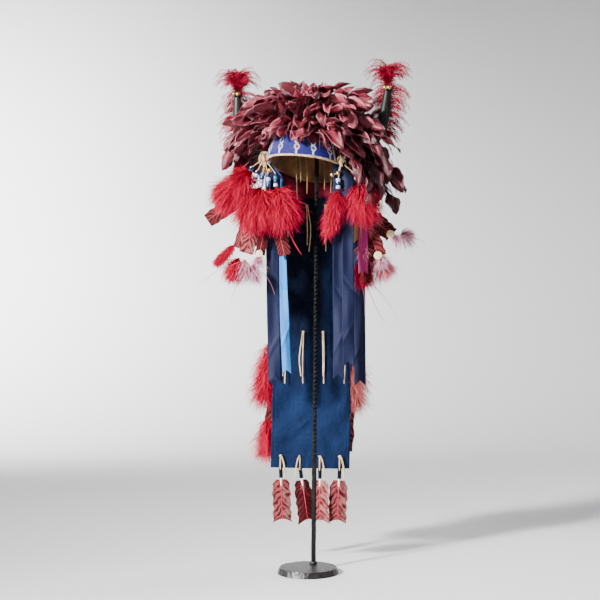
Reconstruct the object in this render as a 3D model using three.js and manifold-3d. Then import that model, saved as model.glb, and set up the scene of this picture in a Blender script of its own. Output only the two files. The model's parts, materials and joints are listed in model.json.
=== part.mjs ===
// A horned feather headdress on its display stand, in millimetres, +Z up, the wearer facing -Y.
// The origin is the centre of the stand plate's underside.
import * as THREE from "three";
import Module from "manifold-3d";
import { mergeVertices } from "three/addons/utils/BufferGeometryUtils.js";

const wasm = await Module();
wasm.setup();

// Driving dimensions
const GAP = 0.4; // space kept between neighbouring pieces
const SIMPLIFY = 0.1;

const PLATE_RADIUS = 68; // at the floor
const PLATE_BEVEL = 6; // how far the sloping edge draws in towards the top
const PLATE_HEIGHT = 13;
const ROD_RADIUS = 5.5;
const ROD_COLLAR_RADIUS = 10;
const ROD_COLLAR_HEIGHT = 7;
const ROD_FOOT = { x: 3, y: 36 }; // where the rod stands on the plate
const ROD_LEAN = { x: 8, y: 2 }; // how far its top has moved from above its foot
const HEAD_RADIUS = 22; // padded head of the rod, inside the cap
const HEAD_DEPTH = 34; // from the crown of the cap down to the underside of the head

const CAP_PLACE = { x: -9, y: 18 }; // the cap's axis, seen from above
const CAP_HALF_WIDTH = 83.5;
const CAP_HALF_DEPTH = 95.5;
const CAP_WALL = 2.5;
const RIM_HEIGHT = 895; // above the floor, mean of the rim
const RIM_PITCH = 23; // the forehead stands this much above the mean, the nape as much below
const RIM_ARCH = 4; // lift of the temples
const RIM_LEAN = 7; // lift of the right ear, drop of the left one
const CROWN_RISE = 118; // from the mean rim to the crown
const CAP_STEP = 15; // degrees between the sides of the cap

const BAND_HEIGHT = 50;
const BAND_THICKNESS = 3;
const BAND_SEAT = 0.5; // space between the cap and the band
const BAND_HALF_ANGLE = 65; // degrees from the forehead to either end
const BINDING_RADIUS = 2.4;
const BINDING_HALF_ANGLE = 110;

const HORN_REACH = 173; // from the cap's axis to the horn's tip
const HORN_SET_BACK = 18; // behind the cap's axis
const HORN_SWAY = 8; // both tips have shifted to the wearer's left
const HORN_RISE = 126; // from the horn's root to its tip
const HORN_ROOT_RADIUS = 15;
const HORN_TIP_RADIUS = 7;
const HORN_ROOT_RISE = 50; // above the mean rim
const HACKLE_LENGTH = 70;
const HORN_PLUME_LENGTH = 66;
const BELL_RADIUS = 4.6;

const KNOT_ANGLE = 71; // degrees from the forehead to the knot at either temple
const KNOT_HEIGHT = 32;
const KNOT_WIDTH = 22;
const BEAD_RADIUS = 5;
const BEAD_LENGTH = 7.6;
const BEAD_GROOVE = 1.4; // how far the waist between two beads draws in
const THREAD_RADIUS = 1;

const RIBBON_THICKNESS = 1;
const RIBBON_WIDTH = 29;
const RIBBON_SHOULDER = 36; // below its seat a ribbon has its full width and hangs straight
const RIBBON_END = 420; // height of the ribbons' swallowtail tips above the floor

const TRAILER_WIDTH = 182;
const TRAILER_THICKNESS = 1.6;
const TRAILER_HEM = 214; // height of the lower hem above the floor
const TRAILER_LAP = 20; // how far its top laps up over the nape
const TRAILER_HALF_ANGLE = 60;
const TRAILER_SHIFT = -17; // how far the hem has swung sideways
const TRAILER_TWIST = 10; // degrees that the hem has turned
const TRAILER_WAVE = 2.4;
const HEADER_THICKNESS = 1.2;
const HEADER_DROP = 34; // depth of the red strip at the trailer's top, below the rim
const TIE_SPACING = TRAILER_WIDTH / 4; // between the four columns of feathers
const TIE_RISE = 26; // holes of the lowest row above the hem
const HOLE_RADIUS = 3;
const THONG_RADIUS = 1.4;

const FEATHER_WIDTH = 46; // the wing feathers of the trailer
const FEATHER_LENGTH = 104; // the cut pendants
const PENDANT_WIDTH = 37;
const LONG_FEATHER_LENGTH = 262; // those on the trailer's back
const FLUFF_RADIUS = 22; // the down on the long feathers
const FLUFF_LENGTH = 96;
const VANE_THICKNESS = 1.8;
const LEAF_WIDTH = 38; // the trimmed feathers of the crown
const LEAF_LENGTH = 100;
const LEAF_THICKNESS = 2.4;

// Small helpers: angles, lofts and solids
const rad = (degrees) => (degrees * Math.PI) / 180;
const vec = (x, y, z) => new THREE.Vector3(x, y, z);
const lerp = THREE.MathUtils.lerp;
const smooth = (share) => THREE.MathUtils.smoothstep(share, 0, 1);
const wobble = (i, k) => Math.sin(i * 12.9898 + k * 78.233); // a repeatable spread from -1 to 1
const UP = vec(0, 0, 1);

// Joins rings of points into one closed surface. A ring of one point is a pole, other ends are closed flat.
function loft(rings) {
  const points = rings.flat();
  const start = [];
  rings.reduce((sum, ring, i) => ((start[i] = sum), sum + ring.length), 0);
  const faces = [];
  for (let i = 1; i < rings.length; i++) {
    const [low, high] = [rings[i - 1], rings[i]];
    const n = Math.max(low.length, high.length);
    for (let j = 0; j < n; j++) {
      const next = (j + 1) % n;
      const [a, b] = [start[i - 1], start[i]];
      if (low.length > 1) faces.push([a + j, a + next, b + (high.length > 1 ? next : 0)]);
      if (high.length > 1) faces.push([a + (low.length > 1 ? j : 0), b + next, b + j]);
    }
  }
  // an end is closed with a ladder across it, which also holds for a thin bent outline
  const close = (ring, first, turned) => {
    const face = (a, b, c) => faces.push((turned ? [a, b, c] : [a, c, b]).map((j) => first + j));
    const n = ring.length;
    for (let j = 0; j < n / 2 - 1; j++) {
      if (j + 1 < n - 1 - j) face(j, j + 1, n - 1 - j);
      if (j + 1 < n - 2 - j) face(j + 1, n - 2 - j, n - 1 - j);
    }
  };
  close(rings[0], start[0], false);
  close(rings.at(-1), start.at(-1), true);
  return solidFrom(points, faces);
}

function solidFrom(points, faces) {
  const volume = faces.reduce(
    (sum, [a, b, c]) => sum + points[a].dot(points[b].clone().cross(points[c])),
    0,
  );
  const index = volume < 0 ? faces.map(([a, b, c]) => [a, c, b]) : faces;
  const geometry = new THREE.BufferGeometry().setFromPoints(points);
  geometry.setIndex(index.flat());
  return solid(geometry);
}

function solid(geometry) {
  const bare = geometry.clone();
  bare.deleteAttribute("normal");
  bare.deleteAttribute("uv");
  const merged = mergeVertices(bare, 1e-4);
  return new wasm.Manifold(
    new wasm.Mesh({
      numProp: 3,
      vertProperties: new Float32Array(merged.attributes.position.array),
      triVerts: new Uint32Array(merged.index.array),
    }),
  );
}

const join = (solids) => solids.reduce((sum, piece) => sum.add(piece));

// The piece that is left when its neighbours are cut away. Loose crumbs are dropped.
function carve(piece, neighbours) {
  return largest(neighbours.reduce((body, cutter) => body.subtract(cutter), piece));
}
const largest = (piece) =>
  piece.decompose().reduce((best, body) => (body.volume() > best.volume() ? body : best));

// A horizontal ring, and a ring square to a direction
function flatRing(centre, radius, sides, squash = 1) {
  return Array.from({ length: sides }, (_, i) => {
    const turn = (2 * Math.PI * i) / sides;
    return vec(centre.x + radius * Math.cos(turn), centre.y + squash * radius * Math.sin(turn), centre.z);
  });
}

// A round bar along points, with one radius at each of them; flat squeezes it along its second axis.
function bar(points, radii, sides, grow = 0, flat = 1) {
  let side = vec(0, 1, 0.01);
  const rings = points.map((point, i) => {
    const ahead = points[Math.min(i + 1, points.length - 1)];
    const behind = points[Math.max(i - 1, 0)];
    const along = ahead.clone().sub(behind).normalize();
    side = side.clone().addScaledVector(along, -side.dot(along)).normalize();
    const other = along.clone().cross(side);
    const radius = radii[i] + grow;
    return Array.from({ length: sides }, (_, j) => {
      const turn = (2 * Math.PI * j) / sides;
      return point
        .clone()
        .addScaledVector(other, radius * Math.cos(turn))
        .addScaledVector(side, (radii[i] * flat + grow) * Math.sin(turn));
    });
  });
  if (grow) {
    // a grown bar also gets longer at both ends
    const [first, last] = [points[0], points.at(-1)];
    const back = first.clone().sub(points[1]).setLength(grow);
    const on = last.clone().sub(points.at(-2)).setLength(grow);
    rings[0].forEach((p) => p.add(back));
    rings.at(-1).forEach((p) => p.add(on));
  }
  return loft(rings);
}

// A flat strip along points: "lens" is thick along its middle and sharp at its edges,
// "ridge" is a lens with one flat side, "strip" is square.
// across is one direction for all of it or one for each point; turns, an angle for each point, twists it.
function strip({ points, across, widths, thickness, kind = "lens", turns, grow = 0 }) {
  const rings = points.map((point, i) => {
    const ahead = points[Math.min(i + 1, points.length - 1)];
    const behind = points[Math.max(i - 1, 0)];
    const along = ahead.clone().sub(behind).normalize();
    const wide = Array.isArray(across) ? across[i] : across;
    const side = wide.clone().addScaledVector(along, -wide.dot(along)).normalize();
    if (turns) side.applyAxisAngle(along, rad(turns[i]));
    const face = along.clone().cross(side);
    const half = widths[i] / 2 + grow;
    const deep = thickness / 2 + grow;
    const at = (u, v) => point.clone().addScaledVector(side, u * half).addScaledVector(face, v * deep);
    if (kind === "lens") return [at(1, 0), at(0, 1), at(-1, 0), at(0, -1)];
    if (kind === "ridge") return [at(1, -0.6), at(0, 1), at(-1, -0.6)];
    return [at(1, 1), at(-1, 1), at(-1, -1), at(1, -1)];
  });
  if (grow) {
    const back = points[0].clone().sub(points[1]).setLength(grow);
    const on = points.at(-1).clone().sub(points.at(-2)).setLength(grow);
    rings[0].forEach((p) => p.add(back));
    rings.at(-1).forEach((p) => p.add(on));
  }
  return loft(rings);
}

// Points of a spine that leaves its root at one slope and bends evenly to another, in degrees above the level
function drape(root, heading, slopes, length, steps) {
  const points = [root.clone()];
  for (let i = 0; i < steps; i++) {
    const slope = rad(lerp(slopes[0], slopes[1], (i + 0.5) / steps));
    const step = vec(Math.cos(heading) * Math.cos(slope), Math.sin(heading) * Math.cos(slope), Math.sin(slope));
    points.push(points.at(-1).clone().addScaledVector(step, length / steps));
  }
  return points;
}

// A tapering lock of plumage with three sides
function lock(root, heading, slopes, length, radius, grow) {
  const points = drape(root, heading, slopes, length, 2);
  return bar(points, [radius, radius * 0.8, radius * 0.15], 3, grow);
}

// The cap: an oval dome whose rim pitches, arches and leans. Angles go from the forehead to the left ear.
const rimZ = (t) =>
  RIM_HEIGHT +
  RIM_PITCH * Math.cos(rad(t)) -
  RIM_ARCH * Math.cos(rad(2 * t)) -
  RIM_LEAN * Math.sin(rad(t));
const crownZ = RIM_HEIGHT + CROWN_RISE;

// A point on the dome: level goes from 0 at the rim through 0.5 at the top of the brow band to 1 at the crown.
function capPoint(t, level, offset = 0, drop = 0) {
  const full = crownZ - rimZ(t);
  const rise =
    level < 0.5 ? 2 * level * BAND_HEIGHT : BAND_HEIGHT + (2 * level - 1) * (full - BAND_HEIGHT);
  const share = Math.min(1, rise / full);
  const girth = Math.sqrt(Math.max(0, 1 - share ** 1.35));
  return vec(
    CAP_PLACE.x + (CAP_HALF_WIDTH + offset) * girth * Math.sin(rad(t)),
    CAP_PLACE.y - (CAP_HALF_DEPTH + offset) * girth * Math.cos(rad(t)),
    rimZ(t) + rise + offset * share - drop,
  );
}

const capAngles = Array.from({ length: 360 / CAP_STEP }, (_, i) => i * CAP_STEP);
const CAP_LEVELS = [0, 0.5, 0.68, 0.84, 0.95];
const capRing = (level, offset, drop) => capAngles.map((t) => capPoint(t, level, offset, drop));

function capDome(offset, drop = 0, levels = CAP_LEVELS) {
  const rings = levels.map((level) => capRing(level, offset));
  if (drop) rings.unshift(capRing(levels[0], offset, drop));
  return loft([...rings, [capPoint(0, 1, offset)]]);
}

// A point on the flat sides of the dome, between its corner levels
function facetPoint(t, level, offset) {
  const levels = [...CAP_LEVELS, 1];
  const high = levels.findIndex((corner) => corner >= level);
  const [low, top] = [levels[high - 1], levels[high]];
  return capPoint(t, low, offset).lerp(capPoint(t, top, offset), (level - low) / (top - low));
}

// Angles from one end of an arc to the other that share the cap's own corners
function arcAngles(from, to) {
  const inner = [];
  for (let t = Math.ceil((from + 1e-6) / CAP_STEP) * CAP_STEP; t < to - 1e-6; t += CAP_STEP) inner.push(t);
  return [from, ...inner, to];
}

const outward = (t) => vec(Math.sin(rad(t)) * CAP_HALF_DEPTH, -Math.cos(rad(t)) * CAP_HALF_WIDTH, 0).normalize();

// Stand
function standPlate() {
  const profile = [
    [0, 0],
    [PLATE_RADIUS, 0],
    [PLATE_RADIUS, PLATE_HEIGHT * 0.3],
    [PLATE_RADIUS - PLATE_BEVEL, PLATE_HEIGHT],
    [0, PLATE_HEIGHT],
  ].map(([r, z]) => new THREE.Vector2(r, z));
  return solid(new THREE.LatheGeometry(profile, 28).rotateX(Math.PI / 2));
}

const headBottom = crownZ - HEAD_DEPTH;
const rodAt = (z) => {
  const share = (z - PLATE_HEIGHT) / (headBottom - PLATE_HEIGHT);
  return vec(ROD_FOOT.x + ROD_LEAN.x * share, ROD_FOOT.y + ROD_LEAN.y * share, z);
};

function standRod() {
  const foot = PLATE_HEIGHT + GAP;
  const rows = [
    [foot, ROD_COLLAR_RADIUS],
    [foot + ROD_COLLAR_HEIGHT * 0.7, ROD_COLLAR_RADIUS * 0.8],
    [foot + ROD_COLLAR_HEIGHT, ROD_RADIUS],
    [headBottom - GAP, ROD_RADIUS],
  ];
  return loft(rows.map(([z, radius]) => flatRing(rodAt(z), radius, 12)));
}

function standHead() {
  const rings = [headBottom, crownZ].map((z) => flatRing(rodAt(headBottom).setZ(z), HEAD_RADIUS, 16));
  return loft(rings).intersect(capDome(-CAP_WALL - GAP));
}

// Cap, brow band and rim binding
const capShell = () => capDome(0).subtract(capDome(-CAP_WALL, 3));

function browBand(grow = 0) {
  const levels = [0, 0.5];
  const rings = arcAngles(-BAND_HALF_ANGLE - grow, BAND_HALF_ANGLE + grow).map((t) => [
    ...levels.map((level) => capPoint(t, level, BAND_SEAT - grow)),
    ...levels.toReversed().map((level) => capPoint(t, level, BAND_SEAT + BAND_THICKNESS + grow)),
  ]);
  return loft(rings);
}

function rimBinding(grow = 0) {
  const middle = BINDING_RADIUS - CAP_WALL / 2;
  const points = arcAngles(-BINDING_HALF_ANGLE, BINDING_HALF_ANGLE).map((t) =>
    capPoint(t, 0, middle, GAP + BINDING_RADIUS),
  );
  return bar(points, points.map(() => BINDING_RADIUS), 5, grow);
}

// Horns, with their hackle fringe, bells and tip plume. side is 1 for the wearer's left.
const HORN_COURSE = [
  // out and rise are shares of the reach and the rise, girth goes from the tip's radius to the root's
  { out: 0.42, rise: 0.0, girth: 1.0 },
  { out: 0.7, rise: 0.0, girth: 1.0 },
  { out: 0.86, rise: 0.09, girth: 0.9 },
  { out: 0.93, rise: 0.25, girth: 0.76 },
  { out: 0.97, rise: 0.48, girth: 0.58 },
  { out: 0.99, rise: 0.72, girth: 0.33 },
  { out: 1.0, rise: 1.0, girth: 0.0 },
];
const hornPoint = (side, { out, rise }) =>
  vec(
    CAP_PLACE.x + HORN_SWAY * rise + side * HORN_REACH * out,
    CAP_PLACE.y + HORN_SET_BACK,
    RIM_HEIGHT + HORN_ROOT_RISE + HORN_RISE * rise,
  );
const hornRadius = ({ girth }) => lerp(HORN_TIP_RADIUS, HORN_ROOT_RADIUS, girth);

const horn = (side, grow = 0) =>
  bar(HORN_COURSE.map((row) => hornPoint(side, row)), HORN_COURSE.map(hornRadius), 10, grow);

function hornHackles(side, grow = 0) {
  const stations = HORN_COURSE.slice(2);
  const quill = 2;
  const line = stations.map((row) =>
    hornPoint(side, row).add(vec(0, hornRadius(row) + GAP + quill, 0)),
  );
  const curve = new THREE.CatmullRomCurve3(line);
  const parts = [bar(line, line.map(() => quill), 4, grow)];
  const locks = 4;
  for (let i = 0; i < locks; i++) {
    const root = curve.getPointAt((i + 0.5) / locks);
    for (const way of [0, 180]) {
      const heading = rad(way + 14 * wobble(i, way + 1) + (way ? -12 : 12));
      const length = HACKLE_LENGTH * (0.85 + 0.15 * wobble(i, way + 2));
      parts.push(lock(root, heading, [28, -58], length, 3.4, grow));
    }
  }
  return join(parts);
}

function hornBells(side, grow = 0) {
  const tip = HORN_COURSE.at(-1);
  const centre = hornPoint(side, tip).add(vec(0, -HORN_TIP_RADIUS - GAP - BELL_RADIUS, -HORN_TIP_RADIUS));
  const ball = (x) =>
    solid(new THREE.SphereGeometry(BELL_RADIUS + grow, 8, 6).rotateX(Math.PI / 2)).translate([
      centre.x + x,
      centre.y,
      centre.z,
    ]);
  return join([ball(-BELL_RADIUS * 0.9), ball(BELL_RADIUS * 0.9)]);
}

function hornPlume(side, grow = 0) {
  const tip = hornPoint(side, HORN_COURSE.at(-1));
  const base = tip.clone().add(vec(0, 0, GAP));
  const body = [0, 0.12, 0.4, 0.68].map((share) => base.clone().add(vec(0, 0, HORN_PLUME_LENGTH * share)));
  const parts = [bar(body, [3, 9, 10, 3], 6, grow)];
  const locks = 7;
  for (let i = 0; i < locks; i++) {
    const heading = rad((360 * i) / locks + 9 * wobble(i, 4));
    const root = base.clone().add(vec(0, 0, HORN_PLUME_LENGTH * (0.22 + 0.16 * (i % 3))));
    parts.push(lock(root, heading, [66, -46], HORN_PLUME_LENGTH * (0.72 + 0.1 * (i % 3)), 3, grow));
  }
  return join(parts);
}

// Temples: a hide knot, hawk bells on a thong, strands of barrel beads. dx goes outwards, from the knot.
const knotCentre = (side) => {
  const t = side * KNOT_ANGLE;
  return capPoint(t, 0, BAND_THICKNESS + 2 * GAP, 0).addScaledVector(outward(t), KNOT_WIDTH * 0.22);
};

function templeKnot(side, grow = 0) {
  const centre = knotCentre(side);
  const points = [-0.5, -0.36, 0, 0.36, 0.5].map((share) =>
    centre.clone().add(vec(side * share * -3, 0, -share * KNOT_HEIGHT)),
  );
  const radii = [0.16, 0.38, 0.5, 0.4, 0.2].map((share) => share * KNOT_WIDTH);
  return bar(points, radii, 8, grow, 0.8);
}

const TEMPLE_BELLS = [
  // places of the bells below the knot's centre: in towards the face, forwards, down
  { inward: 4, forward: 9, down: 24 },
  { inward: 17, forward: 12, down: 28 },
];
function templeBells(side, grow = 0) {
  const knot = knotCentre(side);
  const places = TEMPLE_BELLS.map(({ inward, forward, down }) =>
    knot.clone().add(vec(-side * inward, -forward, -down)),
  );
  const ball = (place) =>
    solid(new THREE.SphereGeometry(BELL_RADIUS + grow, 8, 6)).translate([place.x, place.y, place.z]);
  const thong = bar([knot, places[0], places[1]], [1, 1.1, 1], 6, grow);
  return join([...places.map(ball), thong]);
}

const STRANDS = [
  // number of beads; start of each strand from the knot: out from the face, forwards, down; lean outwards
  { side: -1, beads: 4, out: -31, forward: 14, down: 34, lean: 0 },
  { side: -1, beads: 4, out: -15, forward: 17, down: 36, lean: 0 },
  { side: -1, beads: 4, out: -2, forward: 15, down: 33, lean: 9 },
  { side: -1, beads: 4, out: 11, forward: 13, down: 27, lean: 16 },
  { side: -1, beads: 4, out: 24, forward: 11, down: 18, lean: 26 },
  { side: 1, beads: 3, out: -3, forward: 13, down: 36, lean: 0 },
  { side: 1, beads: 2, out: 30, forward: -10, down: 24, lean: 14 },
];
const strandStart = ({ side, out, forward, down }) => knotCentre(side).add(vec(side * out, -forward, -down));
const strandAim = ({ side, lean }) => vec(side * Math.sin(rad(lean)), 0, -Math.cos(rad(lean)));
const strandEnd = (row) => strandStart(row).addScaledVector(strandAim(row), row.beads * BEAD_LENGTH);

function beadStrand(row, grow = 0) {
  const beads = row.beads;
  const start = strandStart(row);
  const aim = strandAim(row);
  const along = (distance) => start.clone().addScaledVector(aim, distance);
  const points = [];
  const radii = [];
  const flute = 0.9; // rounding at either end of a bead
  for (let i = 0; i < beads; i++) {
    const top = i * BEAD_LENGTH;
    points.push(along(top), along(top + flute), along(top + BEAD_LENGTH - flute));
    radii.push(BEAD_RADIUS - BEAD_GROOVE, BEAD_RADIUS, BEAD_RADIUS);
  }
  points.push(along(beads * BEAD_LENGTH));
  radii.push(BEAD_RADIUS - BEAD_GROOVE);
  const top = knotCentre(row.side).lerp(start, 0.25);
  const thread = bar([top, along(1)], [THREAD_RADIUS, THREAD_RADIUS], 4, grow);
  return bar(points, radii, 10, grow).add(thread);
}

// Ear plumes: a soft body that swells from its quill, and ends in locks
const EAR_PLUMES = [
  // strand that each hangs on; aim in degrees outwards from straight down; length; girth across; depth share
  { name: "ear_plume_left_1", strand: 6, aim: 12, length: 92, girth: 28, depth: 0.6 },
  { name: "ear_plume_left_2", strand: 5, aim: -11, length: 122, girth: 16, depth: 0.7 },
  { name: "ear_plume_right_1", strand: 0, aim: -24, length: 96, girth: 26, depth: 0.62 },
  { name: "ear_plume_right_2", strand: 2, aim: 10, length: 98, girth: 36, depth: 0.55 },
  { name: "ear_plume_right_3", strand: 4, aim: 66, length: 92, girth: 26, depth: 0.62 },
];
const PLUME_SHAPE = [
  // place along the plume, and girth there, as shares
  { along: 0, girth: 0.1 },
  { along: 0.16, girth: 0.66 },
  { along: 0.46, girth: 1 },
  { along: 0.84, girth: 0.7 },
];
function earPlume({ strand, aim, length, girth, depth }, grow = 0) {
  const row = STRANDS[strand];
  const start = strandEnd(row).addScaledVector(strandAim(row), GAP);
  const heading = vec(row.side * Math.sin(rad(aim)), -0.06, -Math.cos(rad(aim))).normalize();
  const place = (share) => start.clone().addScaledVector(heading, length * share);
  const points = PLUME_SHAPE.map((station) => place(station.along));
  const radii = PLUME_SHAPE.map((station) => girth * station.girth);
  const parts = [bar(points, radii, 8, grow, depth)];
  const side = heading.clone().cross(vec(0, 1, 0)).normalize();
  const locks = 5;
  for (let i = 0; i < locks; i++) {
    const turn = (i / (locks - 1) - 0.5) * 2;
    const way = heading.clone().addScaledVector(side, turn * 0.9).normalize();
    const root = place(0.62).addScaledVector(side, turn * girth * 0.62);
    const reach = length * (0.36 + 0.04 * wobble(i, strand));
    const ends = [0, 1].map((share) => root.clone().addScaledVector(way, reach * share));
    parts.push(bar(ends, [girth * 0.34, girth * 0.06], 4, grow, 0.6));
  }
  return join(parts);
}

// Barred side feathers, cut square, on quills that reach the rim. Some end in a round hide disc.
const SIDE_FEATHERS = [
  // angle on the rim; where the vane starts and ends, from the knot: out, back, down; width; disc radius
  { name: "side_feather_left_1", side: 1, rim: 98, from: [44, 54, 106], to: [100, 66, 156], width: 32, disc: 9 },
  { name: "side_feather_left_2", side: 1, rim: 90, from: [40, 44, 118], to: [74, 48, 204], width: 34, disc: 9 },
  { name: "side_feather_left_3", side: 1, rim: 104, from: [38, 40, 170], to: [46, 44, 262], width: 24, disc: 0 },
  { name: "side_feather_right_1", side: -1, rim: 96, from: [48, 16, 72], to: [124, 12, 130], width: 34, disc: 0 },
  { name: "side_feather_right_2", side: -1, rim: 88, from: [34, 12, 98], to: [68, 10, 206], width: 20, disc: 0 },
  { name: "side_feather_right_3", side: -1, rim: 80, from: [18, 8, 116], to: [44, 6, 208], width: 30, disc: 0 },
  { name: "side_feather_right_4", side: -1, rim: 74, from: [-4, 5, 124], to: [12, 4, 212], width: 26, disc: 8 },
  { name: "side_feather_right_5", side: -1, rim: 67, from: [-24, 4, 130], to: [-44, 4, 214], width: 28, disc: 0 },
];
function sideFeather({ side, rim, from, to, width, disc }, grow = 0) {
  const knot = knotCentre(side);
  const place = ([out, back, down]) => knot.clone().add(vec(side * out, back, -down));
  const [root, tip] = [place(from), place(to)];
  const seat = capPoint(side * rim, 0, -1, -4);
  const along = tip.clone().sub(root);
  const points = [0, 0.14, 0.6, 1].map((share) =>
    root.clone().addScaledVector(along, share).add(vec(0, 4 * Math.sin(Math.PI * share), 0)),
  );
  const across = along.clone().cross(vec(0, 1, 0));
  const widths = [0.3, 0.8, 1, 0.94].map((share) => share * width);
  const vane = strip({ points, across, widths, thickness: VANE_THICKNESS, grow });
  const low = seat.clone().add(vec(side * 7, 0, -16));
  const stem = bar([seat, low, root.clone().addScaledVector(along, 0.06)], [1.3, 1.3, 1.3], 4, grow);
  const parts = [vane, stem];
  if (disc) {
    const face = tip.clone().addScaledVector(along.clone().normalize(), -disc * 0.3);
    parts.push(bar([face.clone().add(vec(0, -3, 0)), face.clone().add(vec(0, 3, 0))], [disc, disc], 10, grow));
  }
  return join(parts);
}

// Ribbons: they hang from the rim and end in a swallowtail. x is out from the cap's axis, y back from it.
const RIBBONS = [
  // rim angle of the seat; x and y of the hang; share of the width; end height above RIBBON_END; sway at the
  // end; gather is the share of its width that a ribbon is drawn in to at the top
  { name: "ribbon_right_navy_1", rim: -84, x: -76, y: -8, wide: 1, lift: -5, sway: 6, gather: 1 },
  { name: "ribbon_right_navy_2", rim: -97, x: -74, y: 8, wide: 0.9, lift: -8, sway: 4, gather: 1 },
  { name: "ribbon_right_sky", rim: -72, x: -52, y: -14, wide: 0.7, lift: 16, sway: 12, gather: 0.25 },
  { name: "ribbon_left_navy_1", rim: 73, x: 103, y: -37, wide: 0.9, lift: 34, sway: 2, gather: 1 },
  { name: "ribbon_left_navy_2", rim: 66, x: 80, y: -29, wide: 0.85, lift: 6, sway: 1, gather: 1 },
  { name: "ribbon_left_navy_3", rim: 110, x: 115, y: 28, wide: 0.8, lift: -10, sway: 2, gather: 1 },
  { name: "ribbon_left_rose", rim: 86, x: 128, y: -2, wide: 0.75, lift: 236, sway: 2, gather: 1 },
  { name: "ribbon_left_tan", rim: 80, x: 118, y: -7, wide: 0.6, lift: 304, sway: 0, gather: 1 },
];
function ribbon({ rim, x, y, wide, lift, sway, gather }, grow = 0) {
  const width = RIBBON_WIDTH * wide;
  const seat = capPoint(rim, 0, 0, 3);
  const hang = vec(CAP_PLACE.x + x, CAP_PLACE.y + y, 0);
  const end = RIBBON_END + lift;
  const shares = [0, 0.14, 0.34, 0.58, 0.8, 1];
  const top = seat.z - RIBBON_SHOULDER;
  const points = [seat, ...shares.map((share) => hang.clone().add(vec(sway * share ** 2, 0, lerp(top, end, share))))];
  const opened = shares.map((share) => lerp(gather, 1, smooth(share / 0.7)));
  const widths = [Math.min(0.4, gather), ...opened].map((share) => share * width);
  const across = vec(1, 0.26, 0);
  const body = strip({ points, across, widths, thickness: RIBBON_THICKNESS, kind: "strip", grow });
  const side = across.clone().normalize();
  const foot = points.at(-1);
  const notch = [
    foot.clone().add(vec(0, 0, width * 0.45)),
    foot.clone().add(vec(0, 0, -3)).addScaledVector(side, width * 0.42),
    foot.clone().add(vec(0, 0, -3)).addScaledVector(side, -width * 0.42),
  ];
  const face = side.clone().cross(UP).setLength(5);
  const wedge = loft([1, -1].map((s) => notch.map((p) => p.clone().addScaledVector(face, s))));
  return grow ? body : carve(body, [wedge]);
}

// Trailer: the cloth laps over the nape, leaves the rim as an arc and hangs flat
const trailerAngles = arcAngles(180 - TRAILER_HALF_ANGLE, 180 + TRAILER_HALF_ANGLE);
const trailerShare = (t) => (180 - t) / TRAILER_HALF_ANGLE / 2; // -0.5 to 0.5 across, wearer's left positive
const hemSide = vec(Math.cos(rad(TRAILER_TWIST)), Math.sin(rad(TRAILER_TWIST)), 0);
const hemBack = vec(-hemSide.y, hemSide.x, 0);
const nape = capPoint(180, 0, 0);

// A point of the trailer at a height, where back is the distance behind its inner face
function trailerPoint(share, z, back) {
  const t = 180 - share * 2 * TRAILER_HALF_ANGLE;
  const offset = GAP + back;
  const rim = capPoint(t, 0, offset);
  if (z > rim.z) return capPoint(t, (z - rim.z) / (2 * BAND_HEIGHT), offset);
  const fall = (nape.z - z) / (nape.z - TRAILER_HEM);
  const loose = smooth((rim.z - z) / (nape.z - TRAILER_HEM) / 0.32);
  const wave = TRAILER_WAVE * loose * Math.sin(share * 5 + fall * 4) * (0.4 + fall);
  const flat = vec(nape.x, nape.y + 2, z)
    .add(vec(TRAILER_SHIFT * fall, 0, 0))
    .addScaledVector(hemSide, share * TRAILER_WIDTH)
    .addScaledVector(hemBack, wave + offset);
  return rim.setZ(z).lerp(flat, loose);
}

function clothPanel(top, heights, backs, margin = 0) {
  const shares = trailerAngles.map(trailerShare);
  if (margin) {
    // the space kept for a panel is a little wider than the panel
    shares.unshift(0.5 + margin);
    shares.push(-0.5 - margin);
  }
  const rows = [(share) => trailerRimZ(share) + top, (share) => trailerRimZ(share), ...heights.map((z) => () => z)];
  return loft(
    rows.map((height) => [
      ...shares.map((share) => trailerPoint(share, height(share), backs[0])),
      ...shares.toReversed().map((share) => trailerPoint(share, height(share), backs[1])),
    ]),
  );
}
const trailerRimZ = (share) => rimZ(180 - share * 2 * TRAILER_HALF_ANGLE);

const holeShare = (column) => ((column - 1.5) * TIE_SPACING) / TRAILER_WIDTH;
const tieAt = (column, rise, back) => trailerPoint(holeShare(column), TRAILER_HEM + rise, back);

// The direction of the cloth's width at a column
const clothSide = (column, rise) =>
  trailerPoint(holeShare(column) + 0.05, TRAILER_HEM + rise, 0).sub(
    trailerPoint(holeShare(column) - 0.05, TRAILER_HEM + rise, 0),
  );

function trailerCloth() {
  const cloth = clothPanel(TRAILER_LAP, trailerHeights, [clothFront, clothBack]);
  const holes = [0, 1, 2, 3].map((column) =>
    bar([tieAt(column, TIE_RISE, -8), tieAt(column, TIE_RISE, 14)], [HOLE_RADIUS, HOLE_RADIUS], 8),
  );
  return carve(cloth, holes);
}
const clothFront = HEADER_THICKNESS + GAP;
const clothBack = clothFront + TRAILER_THICKNESS;

// The space that the cloth takes, with what is in front of it
const trailerHeights = [0.06, 0.14, 0.22, 0.32, 0.45, 0.58, 0.72, 0.86, 1].map(
  (share) => nape.z - share * (nape.z - TRAILER_HEM),
);
const trailerRoom = () => clothPanel(TRAILER_LAP, trailerHeights, [0, clothBack + 2 * GAP], 0.01);

const trailerHeader = () =>
  clothPanel(TRAILER_LAP * 0.6, [nape.z - HEADER_DROP * 0.5, nape.z - HEADER_DROP], [0, HEADER_THICKNESS]);

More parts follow.
